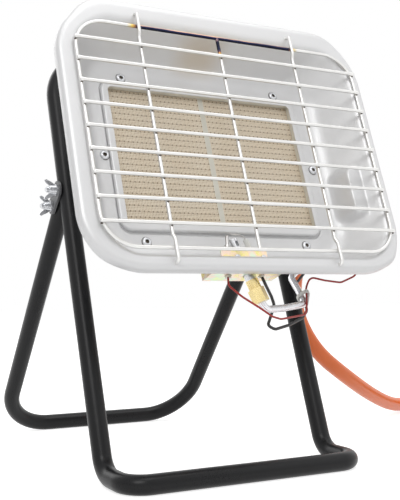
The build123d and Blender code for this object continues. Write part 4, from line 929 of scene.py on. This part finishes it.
def makeRivets():
    # a domed flange round the hole that the pulled pin leaves
    bm = bmesh.new()
    sides = rivets["sides"]
    turns = [(cos(2 * pi * k / sides), sin(2 * pi * k / sides)) for k in range(sides)]
    for u, v in rivets["spots"]:
        rings = [[bm.verts.new(onHead(u + size * x, v + size * y, rivets["seat"] + height)) for x, y in turns]
                 for size, height in rivets["profile"]]
        for index, (first, second) in enumerate(zip(rings, rings[1:])):
            for k in range(sides):
                after = (k + 1) % sides
                face = bm.faces.new((first[k], first[after], second[after], second[k]))
                # the pin's hole and the ring at the foot take the dark finish: painted shade
                face.material_index = 0 if index in rivets["bright"] else 1
        bm.faces.new(rings[-1]).material_index = 1
        bm.faces.new(list(reversed(rings[0])))
    mesh = toMesh(bm, "blindRivets")
    smoothByAngle(mesh, rivets["smoothTo"])
    piece = addPiece("blindRivets", mesh, ["brightZinc", "weldBurnAndShade"], "heater_head")
    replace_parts(piece, "burner_rivets")


makeRivets()
print("rivets made")

tubes = {"size": 16.0, "halfSpan": 108.5, "toeReach": 46.0, "ankleBend": 22.0, "toeBend": 19.0,
         "jointAlong": 277.0, "hoopAlong": 404.0, "hoopBend": 49.0, "sides": 36, "bendSteps": 14,
         "smoothTo": 50}


def onLeg(x, along):
    return Vector((x * mm, footY, 0)) + upLean * along * mm


def makeTube(name, corners, bends, body, node):
    path = roundCorners(corners, [r * mm for r in bends], tubes["bendSteps"])
    mesh = toMesh(sweep(path, tubes["size"] / 2 * mm, tubes["sides"]), name)
    smoothByAngle(mesh, tubes["smoothTo"])
    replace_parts(addPiece(name, mesh, ["blackTube"], body), node)


def mirrored(points):
    return points + [Vector((-p.x, p.y, p.z)) for p in reversed(points)]


def makeStand():
    half, radius = tubes["halfSpan"], tubes["size"] / 2
    ankleY = radius * tan(heater["lean"])
    joint = onLeg(half, tubes["jointAlong"])
    front = [joint, onFloor(half, ankleY, radius), onFloor(half, -tubes["toeReach"], radius)]
    ends = (tubes["ankleBend"], tubes["toeBend"])
    makeTube("frontFrame", mirrored(front), ends + ends[::-1], "stand", "front_frame")
    hoop = [joint, onLeg(half, tubes["hoopAlong"])]
    makeTube("upperHoop", mirrored(hoop), [tubes["hoopBend"]] * 2, "stand", "upper_hoop")


makeStand()
print("stand made")

# drop and lie are places on the floor's axes; the coil's second turn lies on its first
hose = {
    "size": 16.0, "coilX": 488.0, "coilY": 140.0, "coilR": 96.0, "lift": 16.5, "turns": 1.25, "perTurn": 16,
    "inletU": 122.5, "inletV": -50.0, "inletW": -70.0, "stub": 38.5,
    "drop": [(128, 78, 171), (137, 91.5, 140.5), (150, 95, 113), (173, 97, 86), (212, 105, 62),
             (270, 135, 36), (334, 174, 15)],
    "lie": [(384, 205), (424, 227)], "tail": (52.0, 90.0, 127.0), "endZ": 10.0,
    "stillFrom": (129, 80, 165), "length": 1.4235, "steps": 10, "bevel": 9, "smoothTo": 50,
}


def hoseRoute():
    low = hose["size"] / 2
    high = low + hose["lift"]
    inlet = (hose["inletU"], hose["inletV"], hose["inletW"])
    route = [onHead(*inlet), onHead(*inlet[:2], inlet[2] - hose["stub"])]
    route += [onFloor(*place) for place in hose["drop"]] + [onFloor(x, y, low) for x, y in hose["lie"]]
    # the control points stand outside the turn, so that the spline keeps its radius
    radius = hose["coilR"] * 2 / (1 + cos(pi / hose["perTurn"]))
    for step in range(round(hose["turns"] * hose["perTurn"]) + 1):
        angle = 2 * pi * step / hose["perTurn"]
        rise = hose["lift"] * ease(angle / pi - 1)  # climbs over the second half of the first turn
        x, y = hose["coilX"] + radius * sin(angle), hose["coilY"] + radius * cos(angle)
        route.append(onFloor(x, y, low + rise))
    heights = (high, hose["endZ"], hose["endZ"])
    return route + [onFloor(hose["coilX"] + hose["coilR"], hose["coilY"] - far, z)
                    for far, z in zip(hose["tail"], heights)]


def makeSpline(name, route, depth):
    curve = bpy.data.curves.new(name, "CURVE")
    curve.dimensions = "3D"
    spline = curve.splines.new("NURBS")
    spline.points.add(len(route) - 1)
    for point, place in zip(spline.points, route):
        point.co = (*place, 1)
    spline.order_u = 3
    spline.use_endpoint_u = True
    spline.resolution_u = hose["steps"]
    curve.bevel_depth = depth
    curve.bevel_resolution = hose["bevel"]
    curve.use_fill_caps = True
    thing = bpy.data.objects.new(name, curve)
    bpy.context.collection.objects.link(thing)
    return thing


def bakeSpline(name, route, depth):
    # the spline's own mesh, so that its points can be read
    thing = makeSpline(name, route, depth)
    bpy.context.view_layer.update()
    mesh = bpy.data.meshes.new_from_object(thing.evaluated_get(bpy.context.evaluated_depsgraph_get()))
    bpy.data.objects.remove(thing)
    return mesh


def makeHose():
    route = hoseRoute()
    line = [corner.co.copy() for corner in bakeSpline("hoseLine", route, 0).vertices]
    mesh = bakeSpline("hoseTube", route, hose["size"] / 2 * mm)
    smoothByAngle(mesh, hose["smoothTo"])
    mesh.materials.append(materials["orangeHose"])
    piece = bpy.data.objects.new("gasHose", mesh)
    bpy.context.collection.objects.link(piece)
    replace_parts(piece, "gas_hose", "hose_coil", "hose_tail")
    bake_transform(piece)


makeHose()
print("hose made")
